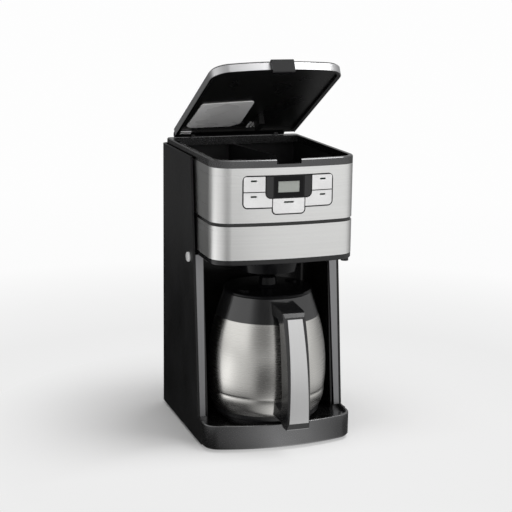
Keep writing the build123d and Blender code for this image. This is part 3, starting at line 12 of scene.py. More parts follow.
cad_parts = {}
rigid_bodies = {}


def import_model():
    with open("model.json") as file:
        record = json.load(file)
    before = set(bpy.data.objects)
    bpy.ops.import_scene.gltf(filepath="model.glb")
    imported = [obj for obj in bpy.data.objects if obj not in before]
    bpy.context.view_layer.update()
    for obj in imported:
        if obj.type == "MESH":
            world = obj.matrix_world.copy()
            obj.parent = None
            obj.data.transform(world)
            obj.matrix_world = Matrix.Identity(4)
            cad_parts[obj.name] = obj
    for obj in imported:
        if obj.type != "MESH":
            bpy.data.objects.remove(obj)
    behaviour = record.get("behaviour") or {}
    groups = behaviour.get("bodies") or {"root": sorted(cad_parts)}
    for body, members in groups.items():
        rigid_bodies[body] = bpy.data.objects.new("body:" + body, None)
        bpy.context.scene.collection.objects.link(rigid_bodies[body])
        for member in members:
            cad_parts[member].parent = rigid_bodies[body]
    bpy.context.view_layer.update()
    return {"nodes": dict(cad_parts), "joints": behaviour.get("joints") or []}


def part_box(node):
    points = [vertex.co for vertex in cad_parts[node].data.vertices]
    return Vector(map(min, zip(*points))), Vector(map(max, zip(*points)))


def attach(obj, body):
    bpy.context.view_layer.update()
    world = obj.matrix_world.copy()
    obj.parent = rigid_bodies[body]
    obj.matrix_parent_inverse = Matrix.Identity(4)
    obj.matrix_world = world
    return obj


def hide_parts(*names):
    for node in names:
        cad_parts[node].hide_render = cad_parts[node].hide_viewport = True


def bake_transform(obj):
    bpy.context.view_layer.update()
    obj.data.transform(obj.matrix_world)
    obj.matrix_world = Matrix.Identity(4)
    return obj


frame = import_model()

bl_info = {
    "name": "Drip coffee maker finishes",
    "version": (1, 0, 0),
    "blender": (4, 5, 0),
    "location": "View3D > Sidebar > Coffee maker",
    "description": "Finishes and small pieces for a drip coffee maker with a steel carafe",
    "category": "Object",
}

MM = 0.001


# ---------------------------------------------------------------- settings
class MakerColours(bpy.types.PropertyGroup):
    """Colours that a user would change."""

    steel: bpy.props.FloatVectorProperty(
        name="Steel bands", description="Colour of the brushed bands on the head",
        subtype="COLOR", size=3, min=0, max=1, default=(0.74, 0.74, 0.73))
    carafe: bpy.props.FloatVectorProperty(
        name="Carafe steel", description="Colour of the brushed carafe wall",
        subtype="COLOR", size=3, min=0, max=1, default=(0.60, 0.59, 0.565))
    black: bpy.props.FloatVectorProperty(
        name="Black mouldings", description="Colour of the satin black walls",
        subtype="COLOR", size=3, min=0, max=1, default=(0.010, 0.010, 0.0105))
    smoke: bpy.props.FloatVectorProperty(
        name="Smoked chrome", description="Colour of the base, the rim and the lid edge",
        subtype="COLOR", size=3, min=0, max=1, default=(0.155, 0.155, 0.157))
    keys: bpy.props.FloatVectorProperty(
        name="Keys", description="Colour of the silver keys",
        subtype="COLOR", size=3, min=0, max=1, default=(0.68, 0.68, 0.68))


class MakerSizes(bpy.types.PropertyGroup):
    """Sizes of the small pieces that a user would change."""

    screw_radius: bpy.props.FloatProperty(
        name="Screw head radius", description="Radius of the pan heads",
        subtype="DISTANCE", unit="LENGTH", default=3.0 * MM, min=1.0 * MM)
    screw_height: bpy.props.FloatProperty(
        name="Screw head height", description="Height of the pan heads",
        subtype="DISTANCE", unit="LENGTH", default=1.6 * MM, min=0.4 * MM)
    screw_slot: bpy.props.FloatProperty(
        name="Screw recess width", description="Width of one arm of the cross recess",
        subtype="DISTANCE", unit="LENGTH", default=0.8 * MM, min=0.2 * MM)
    seam_depth: bpy.props.FloatProperty(
        name="Carafe seam depth", description="Depth of the rolled seam above the carafe foot",
        subtype="DISTANCE", unit="LENGTH", default=0.10 * MM, min=0.0)
    lathe_steps: bpy.props.IntProperty(
        name="Carafe steps", description="Number of facets round the carafe",
        default=144, min=24, max=360)
    spring_turns: bpy.props.FloatProperty(
        name="Spring turns", description="Turns of the drip valve spring", default=4.0, min=2.0, max=8.0)
    slit_count: bpy.props.IntProperty(
        name="Steam slits", description="Number of lined steam slits in the lid", default=3, min=1, max=3)
    slit_pitch: bpy.props.FloatProperty(
        name="Slit pitch", description="Distance between neighbouring steam slits",
        subtype="DISTANCE", unit="LENGTH", default=5.6 * MM, min=4.0 * MM)
    mark_count: bpy.props.IntProperty(
        name="Level marks", description="Number of water level marks in the reservoir",
        default=6, min=2, max=12)
    mark_length: bpy.props.FloatProperty(
        name="Level mark length", description="Length of one water level mark",
        subtype="DISTANCE", unit="LENGTH", default=12.0 * MM, min=2.0 * MM)


# ---------------------------------------------------------------- node helpers
class Graph:
    """A node tree with short ways to add nodes, arithmetic and greys."""

    def __init__(self, tree):
        self.tree = tree

    def link(self, source, target):
        """Join an output to an input."""
        self.tree.links.new(source, target)

    def node(self, kind, links=None, **settings):
        """A node with its settings, plain inputs, and links into the inputs named in links."""
        made = self.tree.nodes.new(kind)
        for key, value in settings.items():
            if key not in made.inputs:
                setattr(made, key, value)
        for key, value in settings.items():
            if key in made.inputs:
                made.inputs[key].default_value = value
        for key, source in (links or {}).items():
            self.link(source, made.inputs[key])
        return made

    def math(self, operation, first, second=None):
        """One step of arithmetic on sockets or plain numbers."""
        made = self.node("ShaderNodeMath", operation=operation)
        for index, value in enumerate((first, second)):
            if isinstance(value, (int, float)):
                made.inputs[index].default_value = value
            elif value is not None:
                self.link(value, made.inputs[index])
        return made.outputs[0]

    def split(self, vector):
        """The X, Y and Z of a vector, by name."""
        return self.node("ShaderNodeSeparateXYZ", {"Vector": vector}).outputs

    def spread(self, source, low, high, start=0.0, stop=1.0):
        """Map the stretch from start to stop onto the one from low to high, held at its ends."""
        made = self.node("ShaderNodeMapRange", {"Value": source}, **{
            "From Min": start, "From Max": stop, "To Min": low, "To Max": high})
        return made.outputs["Result"]

    def grey_ramp(self, source, stops):
        """Greys along a 0 to 1 value."""
        ramp = self.node("ShaderNodeValToRGB", {"Fac": source})
        elements = ramp.color_ramp.elements
        elements[0].position, elements[1].position = stops[0][0], stops[-1][0]
        elements[0].color, elements[1].color = grey(stops[0][1]), grey(stops[-1][1])
        for position, value in stops[1:-1]:
            elements.new(position).color = grey(value)
        return ramp.outputs["Color"]

    def round_about(self, coords, stops):
        """A brightness that depends on the direction round the machine only."""
        angle = self.node("ShaderNodeTexGradient", {"Vector": coords}, gradient_type="RADIAL")
        return self.grey_ramp(angle.outputs["Fac"], stops)

    def mix_shaders(self, share, first, second):
        """Go from the first shader to the second as share goes from 0 to 1."""
        made = self.node("ShaderNodeMixShader")
        for index, source in enumerate((share, first, second)):
            self.link(source, made.inputs[index])
        return made.outputs[0]


def grey(value):
    """An opaque grey."""
    return (value, value, value, 1.0)


def toned(colour, share=1.0):
    """A colour made brighter or darker."""
    return tuple(share * value for value in colour)


# ---------------------------------------------------------------- finishes
NOISE_LOW, NOISE_HIGH = 0.3, 0.7  # nearly all of a noise pattern lies between these


class Finish(Graph):
    """A node material built round one Principled shader."""

    def __init__(self, name, colour, roughness, metallic=0.0, specular=0.5, coat=0.0, coat_roughness=0.05):
        self.material = bpy.data.materials.new(name)
        self.material.use_nodes = True
        super().__init__(self.material.node_tree)
        self.shader = self.tree.nodes["Principled BSDF"]
        self.colour = (*colour, 1.0)
        self.put("Base Color", self.colour)
        self.put("Roughness", roughness)
        self.put("Metallic", metallic)
        self.put("Specular IOR Level", specular)
        self.put("Coat Weight", coat)
        self.put("Coat Roughness", coat_roughness)
        self.material.diffuse_color = self.colour
        self.coords = self.node("ShaderNodeTexCoord").outputs["Object"]
        self.height = None

    def put(self, socket, value):
        """Set a plain value on the shader."""
        self.shader.inputs[socket].default_value = value

    def noise(self, scale, detail=3.0, stretch=(1.0, 1.0, 1.0)):
        """Noise over the object's own coordinates, in features per metre."""
        mapping = self.node("ShaderNodeMapping", {"Vector": self.coords}, vector_type="POINT", Scale=stretch)
        made = self.node("ShaderNodeTexNoise", {"Vector": mapping.outputs["Vector"]},
                         Scale=scale, Detail=detail, Roughness=0.55)
        return made.outputs["Fac"]

    def mottle(self, source, amount):
        """Lighten and darken the base colour along a pattern."""
        ramp = self.node("ShaderNodeValToRGB", {"Fac": source})
        ends = ramp.color_ramp.elements
        for end, position, share in zip(ends, (NOISE_LOW, NOISE_HIGH), (1 - amount, 1 + amount)):
            end.position = position
            end.color = (*(min(1.0, c * share) for c in self.colour[:3]), 1.0)
        self.link(ramp.outputs["Color"], self.shader.inputs["Base Color"])
        return self

    def vary_roughness(self, source, low, high):
        """Let the roughness follow a pattern between two values."""
        self.link(self.spread(source, low, high, NOISE_LOW, NOISE_HIGH), self.shader.inputs["Roughness"])
        return self

    def bump(self, source, strength, depth):
        """Add a layer of relief; depth is in metres."""
        below = {} if self.height is None else {"Normal": self.height}
        self.height = self.node("ShaderNodeBump", {"Height": source, **below},
                                Strength=strength, Distance=depth).outputs["Normal"]
        self.link(self.height, self.shader.inputs["Normal"])
        return self


def moulded(name, colour, roughness, grain=1500.0, relief=0.03, specular=0.5):
    """Fine spark-eroded moulding with faint handling variation."""
    made = Finish(name, colour, roughness, specular=specular)
    fine, broad = made.noise(grain, 2.0), made.noise(14.0, 3.0)
    made.mottle(broad, 0.10).vary_roughness(broad, roughness - 0.05, roughness + 0.06)
    return made.bump(fine, 0.25, relief * MM).material


def polished(name, colour, roughness=0.08, specular=0.5, coat=0.0):
    """Glossy moulding: slight flow waviness and a trace of dust in the gloss."""
    made = Finish(name, colour, roughness, specular=specular, coat=coat)
    flow, dust = made.noise(22.0, 2.0), made.noise(700.0, 4.0)
    made.mottle(flow, 0.08).vary_roughness(dust, roughness, roughness + 0.05)
    return made.bump(flow, 0.08, 0.12 * MM).material


# brush marks in features per metre along X, Y and Z
LEVEL_LINES, UPRIGHT_LINES = (6.0, 6.0, 2600.0), (2600.0, 6.0, 6.0)
STREAK_SHARE = (0.6, 0.6, 0.18)  # how much coarser the longer streaks are


def brushed(name, colour, roughness, lines=LEVEL_LINES, tone=0.02, relief=0.008, draw=0.0, vary=0.07):
    """Brushed steel with longer faint streaks; draw pulls its gloss upright."""
    made = Finish(name, colour, roughness, metallic=1.0)
    if draw:
        made.put("Anisotropic", draw)
        made.put("Anisotropic Rotation", 0.25)
        round_axis = made.node("ShaderNodeTangent", direction_type="RADIAL", axis="Z")
        made.link(round_axis.outputs["Tangent"], made.shader.inputs["Tangent"])
    fine = made.noise(1.0, 4.0, lines)
    streaks = made.noise(1.0, 2.0, [line * share for line, share in zip(lines, STREAK_SHARE)])
    made.mottle(streaks, tone).vary_roughness(fine, roughness - vary, roughness + vary)
    return made.bump(fine, 0.5, relief * MM).material


def smoked(name, colour, roughness=0.2, metallic=1.0):
    """Dark chrome-like lacquer with a soft flow."""
    made = Finish(name, colour, roughness, metallic=metallic, coat=0.25, coat_roughness=0.12)
    flow, dust = made.noise(18.0, 2.0), made.noise(900.0, 3.0)
    made.mottle(flow, 0.06).vary_roughness(dust, roughness - 0.03, roughness + 0.05)
    return made.bump(flow, 0.06, 0.10 * MM).material


def display_glass():
    """Greenish glass with the faint cells of a display."""
    made = Finish("display glass", (0.29, 0.305, 0.285), 0.18, specular=0.4)
    made.mottle(made.noise(1.0, 0.0, (900.0, 900.0, 900.0)), 0.03)
    made.vary_roughness(made.noise(40.0), 0.16, 0.22)
    return made.bump(made.noise(30.0, 1.0), 0.03, 0.1 * MM).material


def silicone_tube():
    """Milky rubber that lets a little light in."""
    made = Finish("milky silicone", (0.62, 0.62, 0.58), 0.4)
    made.put("Subsurface Weight", 0.25)
    made.put("Subsurface Radius", (2.0 * MM, 2.0 * MM, 1.6 * MM))
    return made.mottle(made.noise(60.0), 0.06).bump(made.noise(300.0), 0.15, 0.05 * MM).material


DEEP_BLACK, SOFT_BLACK = (0.004, 0.004, 0.0045), (0.008, 0.008, 0.0085)
CAST_GREY = (0.42, 0.42, 0.43)
RIM_TONE, LID_EDGE_TONE = 0.56, 3.2  # brightness beside the base


def make_materials(colours):
    """All the finishes of the machine, by plain name."""
    smoke = toned(colours.smoke)
    return {
        "wall": moulded("satin black wall", toned(colours.black), 0.36, grain=1700.0, specular=0.25),
        "inner": moulded("dark inner moulding", SOFT_BLACK, 0.40, grain=1100.0, specular=0.35),
        "underside": moulded("lid underside", (0.007, 0.007, 0.007), 0.30, grain=900.0, specular=0.35),
        "gloss": polished("gloss black moulding", (0.006, 0.006, 0.0065), 0.10),
        "bay": polished("gloss black bay", (0.006, 0.006, 0.006), 0.16, specular=0.35),
        "deck": polished("gloss black deck", (0.008, 0.008, 0.008), 0.14),
        "base": smoked("smoked base lacquer", smoke, 0.24),
        "rim": smoked("smoked rim lacquer", toned(smoke, RIM_TONE), 0.25),
        "lid_edge": smoked("bright lid edge lacquer", toned(smoke, LID_EDGE_TONE), 0.34),
        "steel": brushed("brushed steel band", toned(colours.steel), 0.34, draw=0.6),
        "carafe": brushed("brushed carafe steel", toned(colours.carafe), 0.27, (5.0, 5.0, 6500.0),
                          tone=0.008, relief=0.0005, draw=0.3, vary=0.01),
        "insert": brushed("brushed handle strip", (0.60, 0.60, 0.60), 0.36, UPRIGHT_LINES, relief=0.006),
        "pillar": brushed("satin pillar strip", (0.24, 0.24, 0.245), 0.34, (2000.0, 6.0, 6.0), relief=0.006),
        "key": polished("silver key", toned(colours.keys), 0.26, coat=0.3),
        "window": polished("display window", DEEP_BLACK, 0.06, specular=0.12),
        "lcd": display_glass(),
        "plate": moulded("light grey plate", (0.84, 0.84, 0.84), 0.30, grain=800.0, relief=0.01),
        "collar": moulded("dark grey collar", SOFT_BLACK, 0.17, grain=1300.0, relief=0.004, specular=0.75),
        "grip": moulded("handle grip", SOFT_BLACK, 0.24, grain=1200.0, relief=0.010),
        "cap": polished("carafe lid", DEEP_BLACK, 0.14, specular=0.14),
        "bezel": polished("black bezel", DEEP_BLACK, 0.12, specular=0.2),
        "rubber": moulded("black rubber", (0.012, 0.012, 0.012), 0.72, grain=900.0, relief=0.05, specular=0.3),
        "zinc": smoked("plated steel", (0.55, 0.55, 0.56), 0.22),
        "casting": moulded("cast aluminium", CAST_GREY, 0.5, grain=500.0, relief=0.08),
        "motor": brushed("motor can", CAST_GREY, 0.38, (5.0, 5.0, 900.0)),
        "board": moulded("circuit board", (0.015, 0.075, 0.035), 0.35, grain=400.0, relief=0.03),
        "silicone": silicone_tube(),
        "pale": moulded("pale small mouldings", (0.80, 0.80, 0.80), 0.35, grain=900.0, relief=0.01),
        "marks": moulded("level marks", (0.55, 0.55, 0.55), 0.5),
    }


BODY_FINISHES = {
    "base": "base", "base_cover": "wall", "feet": "rubber", "rest_plate": "inner", "heater": "casting",
    "left_side_panel": "wall", "right_side_panel": "wall", "left_pillar_trim": "pillar",
    "right_pillar_trim": "pillar", "back_panel": "wall", "cord_gland": "rubber", "cavity_wall": "bay",
    "release_button": "key",
}
HEAD_FINISHES = {
    "lower_housing": "inner", "right_band": "steel", "deck": "deck", "door_hinge_pin": "zinc",
    "spray_head": "inner", "upper_housing": "inner", "upper_band": "steel", "control_bezel": "bezel",
    "display_window": "window", "lcd": "lcd", "control_board": "board", "top_rim": "rim",
    "reservoir": "inner", "grinder_chamber": "inner", "grounds_chute": "inner", "grinder_motor": "motor",
    "grinder_blade": "zinc", "check_valve": "silicone", "water_hoses": "silicone",
    "top_left_key": "key", "top_right_key": "key", "low_left_key": "key", "low_right_key": "key",
    "brew_key": "key", "left_set_key": "gloss", "right_set_key": "gloss",
}
DOOR_FINISHES = {
    "door_band": "steel", "door_frame": "gloss", "filter_holder": "cap", "filter_basket": "inner",
    "valve_spring": "zinc", "drip_valve": "cap",
}
LID_FINISHES = {
    "lid_shell": "gloss", "lid_band": "lid_edge", "lid_liner": "underside", "lid_plate": "plate",
    "lid_hinge_pins": "zinc", "lid_latch": "gloss",
}
CARAFE_FINISHES = {
    "carafe_liner": "carafe", "carafe_base": "grip", "carafe_collar": "collar", "carafe_handle": "grip",
    "handle_insert": "insert", "carafe_lid": "cap", "lid_seal": "rubber",
}

finishes = {}


def dress(table):
    """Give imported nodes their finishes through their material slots."""
    for name, finish in table.items():
        node = frame["nodes"][name]
        if not node.data.materials:
            node.data.materials.append(finishes[finish])
        for index in range(len(node.material_slots)):
            node.material_slots[index].material = finishes[finish]


# ---------------------------------------------------------------- mesh helpers
class Tree(Graph):
    """A geometry node tree with named inputs, ending in Realize Instances and Set Material."""

    def __init__(self, name, material):
        super().__init__(bpy.data.node_groups.new(name, "GeometryNodeTree"))
        self.material = material
        for way in ("INPUT", "OUTPUT"):
            self.tree.interface.new_socket("Geometry", in_out=way, socket_type="NodeSocketGeometry")
        self.start = self.node("NodeGroupInput")
        self.end = self.node("NodeGroupOutput")
        self.ids, self.values = {}, {}

    def size(self, name, value, kind="NodeSocketFloat"):
        """Add a named input and return its socket in the tree."""
        made = self.tree.interface.new_socket(name, in_out="INPUT", socket_type=kind)
        self.ids[name], self.values[name] = made.identifier, value
        return self.start.outputs[name]

    def vector(self, **parts):
        """A vector from sockets or plain numbers, by the names X, Y and Z."""
        plain = {key: value for key, value in parts.items() if isinstance(value, (int, float))}
        links = {key: value for key, value in parts.items() if key not in plain}
        return self.node("ShaderNodeCombineXYZ", links, **plain).outputs[0]

    def moved(self, geometry, by):
        """The geometry moved by a vector socket."""
        return self.node("GeometryNodeTransform", {"Geometry": geometry, "Translation": by}).outputs["Geometry"]

    def finish(self, geometry):
        """End the tree with this geometry, realized and coated."""
        realized = self.node("GeometryNodeRealizeInstances", {"Geometry": geometry})
        coated = self.node("GeometryNodeSetMaterial", {"Geometry": realized.outputs["Geometry"]},
                           Material=self.material)
        self.link(coated.outputs["Geometry"], self.end.inputs[0])

    def bake(self, name, seed_mesh):
        """Run the tree on a mesh and return the plain result as a new object."""
        carrier = placed(name + "_carrier", seed_mesh)
        modifier = carrier.modifiers.new("pattern", "NODES")
        modifier.node_group = self.tree
        for key, value in self.values.items():
            modifier[self.ids[key]] = value
        evaluated = carrier.evaluated_get(bpy.context.evaluated_depsgraph_get())
        mesh = bpy.data.meshes.new_from_object(evaluated)
        mesh.name = name
        carrier.modifiers.remove(modifier)
        bpy.data.objects.remove(carrier)
        return placed(name, mesh)


def placed(name, data):
    """A new object of the scene, at the origin."""
    made = bpy.data.objects.new(name, data)
    bpy.context.scene.collection.objects.link(made)
    return made


def plain_mesh(name, vertices, edges=(), faces=()):
    """A mesh from lists of corners, edges and faces."""
    mesh = bpy.data.meshes.new(name)
    mesh.from_pydata(vertices, edges, faces)
    return mesh


def mesh_of(name, work):
    """Turn a finished bmesh into a mesh, and free it."""
    mesh = bpy.data.meshes.new(name)
    work.to_mesh(mesh)
    work.free()
    return mesh


def middle(node):
    """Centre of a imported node's box."""
    low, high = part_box(node)
    return (low + high) / 2


def facing_out(piece, sharp_angle):
    """Turn every face outwards and keep edges harder than the angle, in degrees, sharp."""
    work = bmesh.new()
    work.from_mesh(piece.data)
    bmesh.ops.remove_doubles(work, verts=work.verts, dist=1e-7)
    bmesh.ops.dissolve_degenerate(work, edges=work.edges, dist=1e-7)
    bmesh.ops.recalc_face_normals(work, faces=work.faces)
    for edge in work.edges:
        edge.smooth = len(edge.link_faces) == 2 and edge.calc_face_angle(0.0) < math.radians(sharp_angle)
    for face in work.faces:
        face.smooth = True
    work.to_mesh(piece.data)
    work.free()


# ---------------------------------------------------------------- dressed pieces
class MAKER_OT_materials(bpy.types.Operator):
    """Make every finish of the coffee maker"""

    bl_idname = "maker.materials"
    bl_label = "Make finishes"

    def execute(self, context):
        finishes.clear()
        finishes.update(make_materials(context.scene.maker_colours))
        return {"FINISHED"}


class MAKER_OT_body(bpy.types.Operator):
    """Finish the base, the walls, the back and the carafe bay"""

    bl_idname = "maker.body"
    bl_label = "Base and walls"

    def execute(self, context):
        dress(BODY_FINISHES)
        return {"FINISHED"}


class MAKER_OT_head(bpy.types.Operator):
    """Finish the head with its bands, keys, display, rim and inner parts"""

    bl_idname = "maker.head"
    bl_label = "Head and controls"

    def execute(self, context):
        dress(HEAD_FINISHES)
        return {"FINISHED"}


class MAKER_OT_door(bpy.types.Operator):
    """Finish the basket door, the filter holder and the drip valve"""

    bl_idname = "maker.door"
    bl_label = "Basket door"

    def execute(self, context):
        dress(DOOR_FINISHES)
        return {"FINISHED"}


class MAKER_OT_lid(bpy.types.Operator):
    """Finish the lid, its underside and its latch"""

    bl_idname = "maker.lid"
    bl_label = "Lid"

    def execute(self, context):
        dress(LID_FINISHES)
        return {"FINISHED"}


# ---------------------------------------------------------------- lid trim
SLIT_MIDDLE = (13.0 * MM, -33.0 * MM)  # of the first slit, in the lid's own plane
SLIT_HALF_WIDTH, SLIT_STRAIGHT = 1.1 * MM, 17.8 * MM
SLIT_END_STEPS = 12
LINER_WALL, LINER_DEPTH = 0.3 * MM, 8.2 * MM
LIP_WIDTH, LIP_THICKNESS = 0.7 * MM, 0.4 * MM
LINER_GAP = 0.02 * MM
LID_FOOT_SIZE, LID_FOOT_ROUND = (18.0 * MM, 6.5 * MM, 3.6 * MM), 1.1 * MM
LID_FOOT_MIDDLE = (-76.5 * MM, -12.8 * MM, -1.8 * MM)


def lid_frame():
    """The lid's own plane as it stands open: origin on the hinge, Y to the back, Z out of the lid."""
    hinge = next(joint for joint in frame["joints"] if joint["name"] == "lid_hinge")
    closed = math.radians(hinge["range_deg"][0])
    return Matrix.Translation(hinge["pos_m"]) @ Matrix.Rotation(closed, 4, "X")


def slit_liner(place):
    """A flanged liner through the lid for the first slit."""
    bore, lip = SLIT_HALF_WIDTH - LINER_WALL, SLIT_HALF_WIDTH + LIP_WIDTH
    outside = SLIT_HALF_WIDTH - LINER_GAP
    section = [(bore, -LIP_THICKNESS), (lip, -LIP_THICKNESS), (lip, -LINER_GAP), (outside, -LINER_GAP),
               (outside, LINER_DEPTH), (bore, LINER_DEPTH)]
    corners = []
    for end, half_turn in ((1, 0.0), (-1, math.pi)):
        for step in range(SLIT_END_STEPS + 1):
            turn = math.pi * step / SLIT_END_STEPS + half_turn
            along = SLIT_MIDDLE[1] + end * SLIT_STRAIGHT / 2
            corners += [place @ Vector((SLIT_MIDDLE[0] + reach * math.cos(turn), along + reach * math.sin(turn), z))
                        for reach, z in section]
    size, turns = len(section), len(corners) // len(section)
    faces = []
    for i in range(turns):
        here, after = i * size, (i + 1) % turns * size
        for k in range(size):
            beside = (k + 1) % size
            faces.append((here + k, here + beside, after + beside, after + k))
    return plain_mesh("slit_liner", [tuple(corner) for corner in corners], faces=faces)


def lid_foot(place):
    """A small rounded block under the rear corner of the lid."""
    work = bmesh.new()
    bmesh.ops.create_cube(work, size=1.0, matrix=Matrix.Diagonal((*LID_FOOT_SIZE, 1.0)))
    bmesh.ops.bevel(work, geom=work.edges[:], offset=LID_FOOT_ROUND, segments=3, affect="EDGES")
    bmesh.ops.transform(work, matrix=place @ Matrix.Translation(LID_FOOT_MIDDLE), verts=work.verts)
    foot = placed("lid_foot", mesh_of("lid_foot", work))
    foot.data.materials.append(finishes["pale"])
    return foot


class MAKER_OT_lid_trim(bpy.types.Operator):
    """Line the steam slits of the lid, and set the pale foot at its rear corner"""

    bl_idname = "maker.lid_trim"
    bl_label = "Lid trim"

    def execute(self, context):
        sizes = context.scene.maker_sizes
        place = lid_frame()
        tree = Tree("steam slit liners", finishes["pale"])
        count = tree.size("Slits", sizes.slit_count, "NodeSocketInt")
        pitch = tree.vector(X=tree.size("Slit pitch", sizes.slit_pitch))
        line = tree.node("GeometryNodeMeshLine", {"Count": count, "Offset": pitch}, mode="OFFSET")
        copies = tree.node("GeometryNodeInstanceOnPoints",
                           {"Points": line.outputs["Mesh"], "Instance": tree.start.outputs[0]})
        tree.finish(copies.outputs["Instances"])
        liners = tree.bake("slit_liners", slit_liner(place))
        facing_out(liners, sharp_angle=40.0)
        foot = lid_foot(place)
        facing_out(foot, sharp_angle=60.0)
        for piece in (liners, foot):
            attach(piece, "lid")
        return {"FINISHED"}


# ---------------------------------------------------------------- carafe
FOOT_RADIUS, SEAM_RADIUS, BELLY_RADIUS, SHOULDER_RADIUS = 73.8 * MM, 80.2 * MM, 81.4 * MM, 70.7 * MM
SEAM_HEIGHT, BELLY_HEIGHT = 25.6 * MM, 70.1 * MM  # above the foot
HEEL_OUT, HEEL_HEIGHT = 4.6 * MM, 10.0 * MM  # the round below the seam passes this far from the foot
FOOT_STEPS, BODY_STEPS = 14, 34
SEAM_FLOOR, SEAM_EDGE, SEAM_RUN = 0.1 * MM, 0.3 * MM, 0.7 * MM  # half heights of the seam, from its floor out
WALL_THICKNESS = 1.2 * MM


def arc(start, mid, stop, steps):
    """Points of the circle through three points."""
    (ax, ay), (bx, by), (cx, cy) = start, mid, stop
    a, b, c = ax * ax + ay * ay, bx * bx + by * by, cx * cx + cy * cy
    twice = 2 * (ax * (by - cy) + bx * (cy - ay) + cx * (ay - by))
    ux = (a * (by - cy) + b * (cy - ay) + c * (ay - by)) / twice
    uy = (a * (cx - bx) + b * (ax - cx) + c * (bx - ax)) / twice
    radius = math.hypot(ax - ux, ay - uy)
    first, last = math.atan2(ay - uy, ax - ux), math.atan2(cy - uy, cx - ux)
    turns = [first + (last - first) * i / steps for i in range(steps + 1)]
    return [(ux + radius * math.cos(turn), uy + radius * math.sin(turn)) for turn in turns]


def wall_profile(seam_depth):
    """Outer line of the carafe wall as radius and height, from the foot to the shoulder."""
    low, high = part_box("carafe_body")
    seam_z = low.z + SEAM_HEIGHT
    foot = arc((FOOT_RADIUS, low.z), (FOOT_RADIUS + HEEL_OUT, low.z + HEEL_HEIGHT), (SEAM_RADIUS, seam_z), FOOT_STEPS)
    body = arc((SEAM_RADIUS, seam_z), (BELLY_RADIUS, low.z + BELLY_HEIGHT), (SHOULDER_RADIUS, high.z), BODY_STEPS)
    bottom = SEAM_RADIUS - seam_depth
    seam = [(SEAM_RADIUS - SEAM_FLOOR, seam_z - SEAM_RUN), (SEAM_RADIUS, seam_z - SEAM_EDGE),
            (bottom, seam_z - SEAM_FLOOR), (bottom, seam_z + SEAM_FLOOR), (SEAM_RADIUS, seam_z + SEAM_EDGE)]
    return foot[:-1] + seam + body[1:]


def closed_wall(seam_depth):
    """Line round the wall's section, from the axis up the outside and down the inside to the axis."""
    outer = wall_profile(seam_depth)
    floor_z = outer[0][1]
    inner = []
    for radius, z in outer:
        lift = WALL_THICKNESS if z < floor_z + MM else 0.0
        inner.append((max(radius - WALL_THICKNESS, 0.0), z + lift))
    return [(0.0, floor_z)] + outer + inner[::-1] + [(0.0, floor_z + WALL_THICKNESS)]


def turned_wall(sizes):
    """The carafe's steel wall: a profile swept round its axis by geometry nodes."""
    axis = middle("carafe_body")
    line = closed_wall(sizes.seam_depth)
    count = len(line)
    profile = plain_mesh("carafe_profile", [(radius, 0.0, z) for radius, z in line],
                         [(i, i + 1) for i in range(count - 1)])
    tree = Tree("turned carafe wall", finishes["carafe"])
    centre_x = tree.size("Axis X", axis.x)
    centre_y = tree.size("Axis Y", axis.y)
    steps = tree.size("Steps", sizes.lathe_steps, "NodeSocketInt")
    curve = tree.node("GeometryNodeMeshToCurve", {"Mesh": tree.start.outputs[0]})
    grid = tree.node("GeometryNodeMeshGrid", {"Vertices X": tree.math("ADD", steps, 1)},
                     **{"Size X": 1.0, "Size Y": 1.0, "Vertices Y": count})
    place = tree.node("GeometryNodeInputPosition").outputs[0]
    parts = tree.split(place)
    turn = tree.math("MULTIPLY", tree.math("ADD", parts["X"], 0.5), 2 * math.pi)
    row = tree.math("ROUND", tree.math("MULTIPLY", tree.math("ADD", parts["Y"], 0.5), count - 1))
    points = tree.node("GeometryNodeCurveToPoints", {"Curve": curve.outputs["Curve"]}, mode="EVALUATED")
    sampled = tree.node("GeometryNodeSampleIndex", {"Geometry": points.outputs["Points"], "Index": row,
                                                    "Value": place}, data_type="FLOAT_VECTOR")
    corner = tree.split(sampled.outputs["Value"])
    x = tree.math("ADD", tree.math("MULTIPLY", corner["X"], tree.math("COSINE", turn)), centre_x)
    y = tree.math("ADD", tree.math("MULTIPLY", corner["X"], tree.math("SINE", turn)), centre_y)
    moved = tree.node("GeometryNodeSetPosition",
                      {"Geometry": grid.outputs["Mesh"], "Position": tree.vector(X=x, Y=y, Z=corner["Z"])})
    closed = tree.node("GeometryNodeMergeByDistance", {"Geometry": moved.outputs["Geometry"]}, Distance=1e-6)
    smooth = tree.node("GeometryNodeSetShadeSmooth", {"Geometry": closed.outputs["Geometry"]})
    tree.finish(smooth.outputs["Geometry"])
    piece = tree.bake("carafe_wall", profile)
    facing_out(piece, sharp_angle=35.0)
    return piece


class MAKER_OT_carafe(bpy.types.Operator):
    """Finish the carafe's mouldings, and turn its outer wall from one profile"""

    bl_idname = "maker.carafe"
    bl_label = "Carafe"

    def execute(self, context):
        dress(CARAFE_FINISHES)
        shell = turned_wall(context.scene.maker_sizes)
        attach(shell, "carafe")
        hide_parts("carafe_body")
        return {"FINISHED"}


# ---------------------------------------------------------------- small pieces
BASE_SCREWS = ((39.5 * MM, -74.0 * MM), (11.5 * MM, 78.0 * MM))  # in from the side, and Y
BACK_SCREW_INSET, BACK_SCREW_HEIGHTS = 9.7 * MM, (50.0 * MM, 200.0 * MM, 370.0 * MM)
DOME_DROP, RECESS_LIFT = 0.45, 0.55  # shares of the screw head's height
RECESS_REACH = 1.15  # length of an arm of the recess beside the head's radius
SPRING_WIRE = 0.5 * MM
MARK_INSET, MARK_Y, MARK_LOW, MARK_HIGH = 2.3 * MM, 38.0 * MM, 338.0 * MM, 378.0 * MM
MARK_RELIEF, MARK_HEIGHT = 0.6 * MM, 1.1 * MM


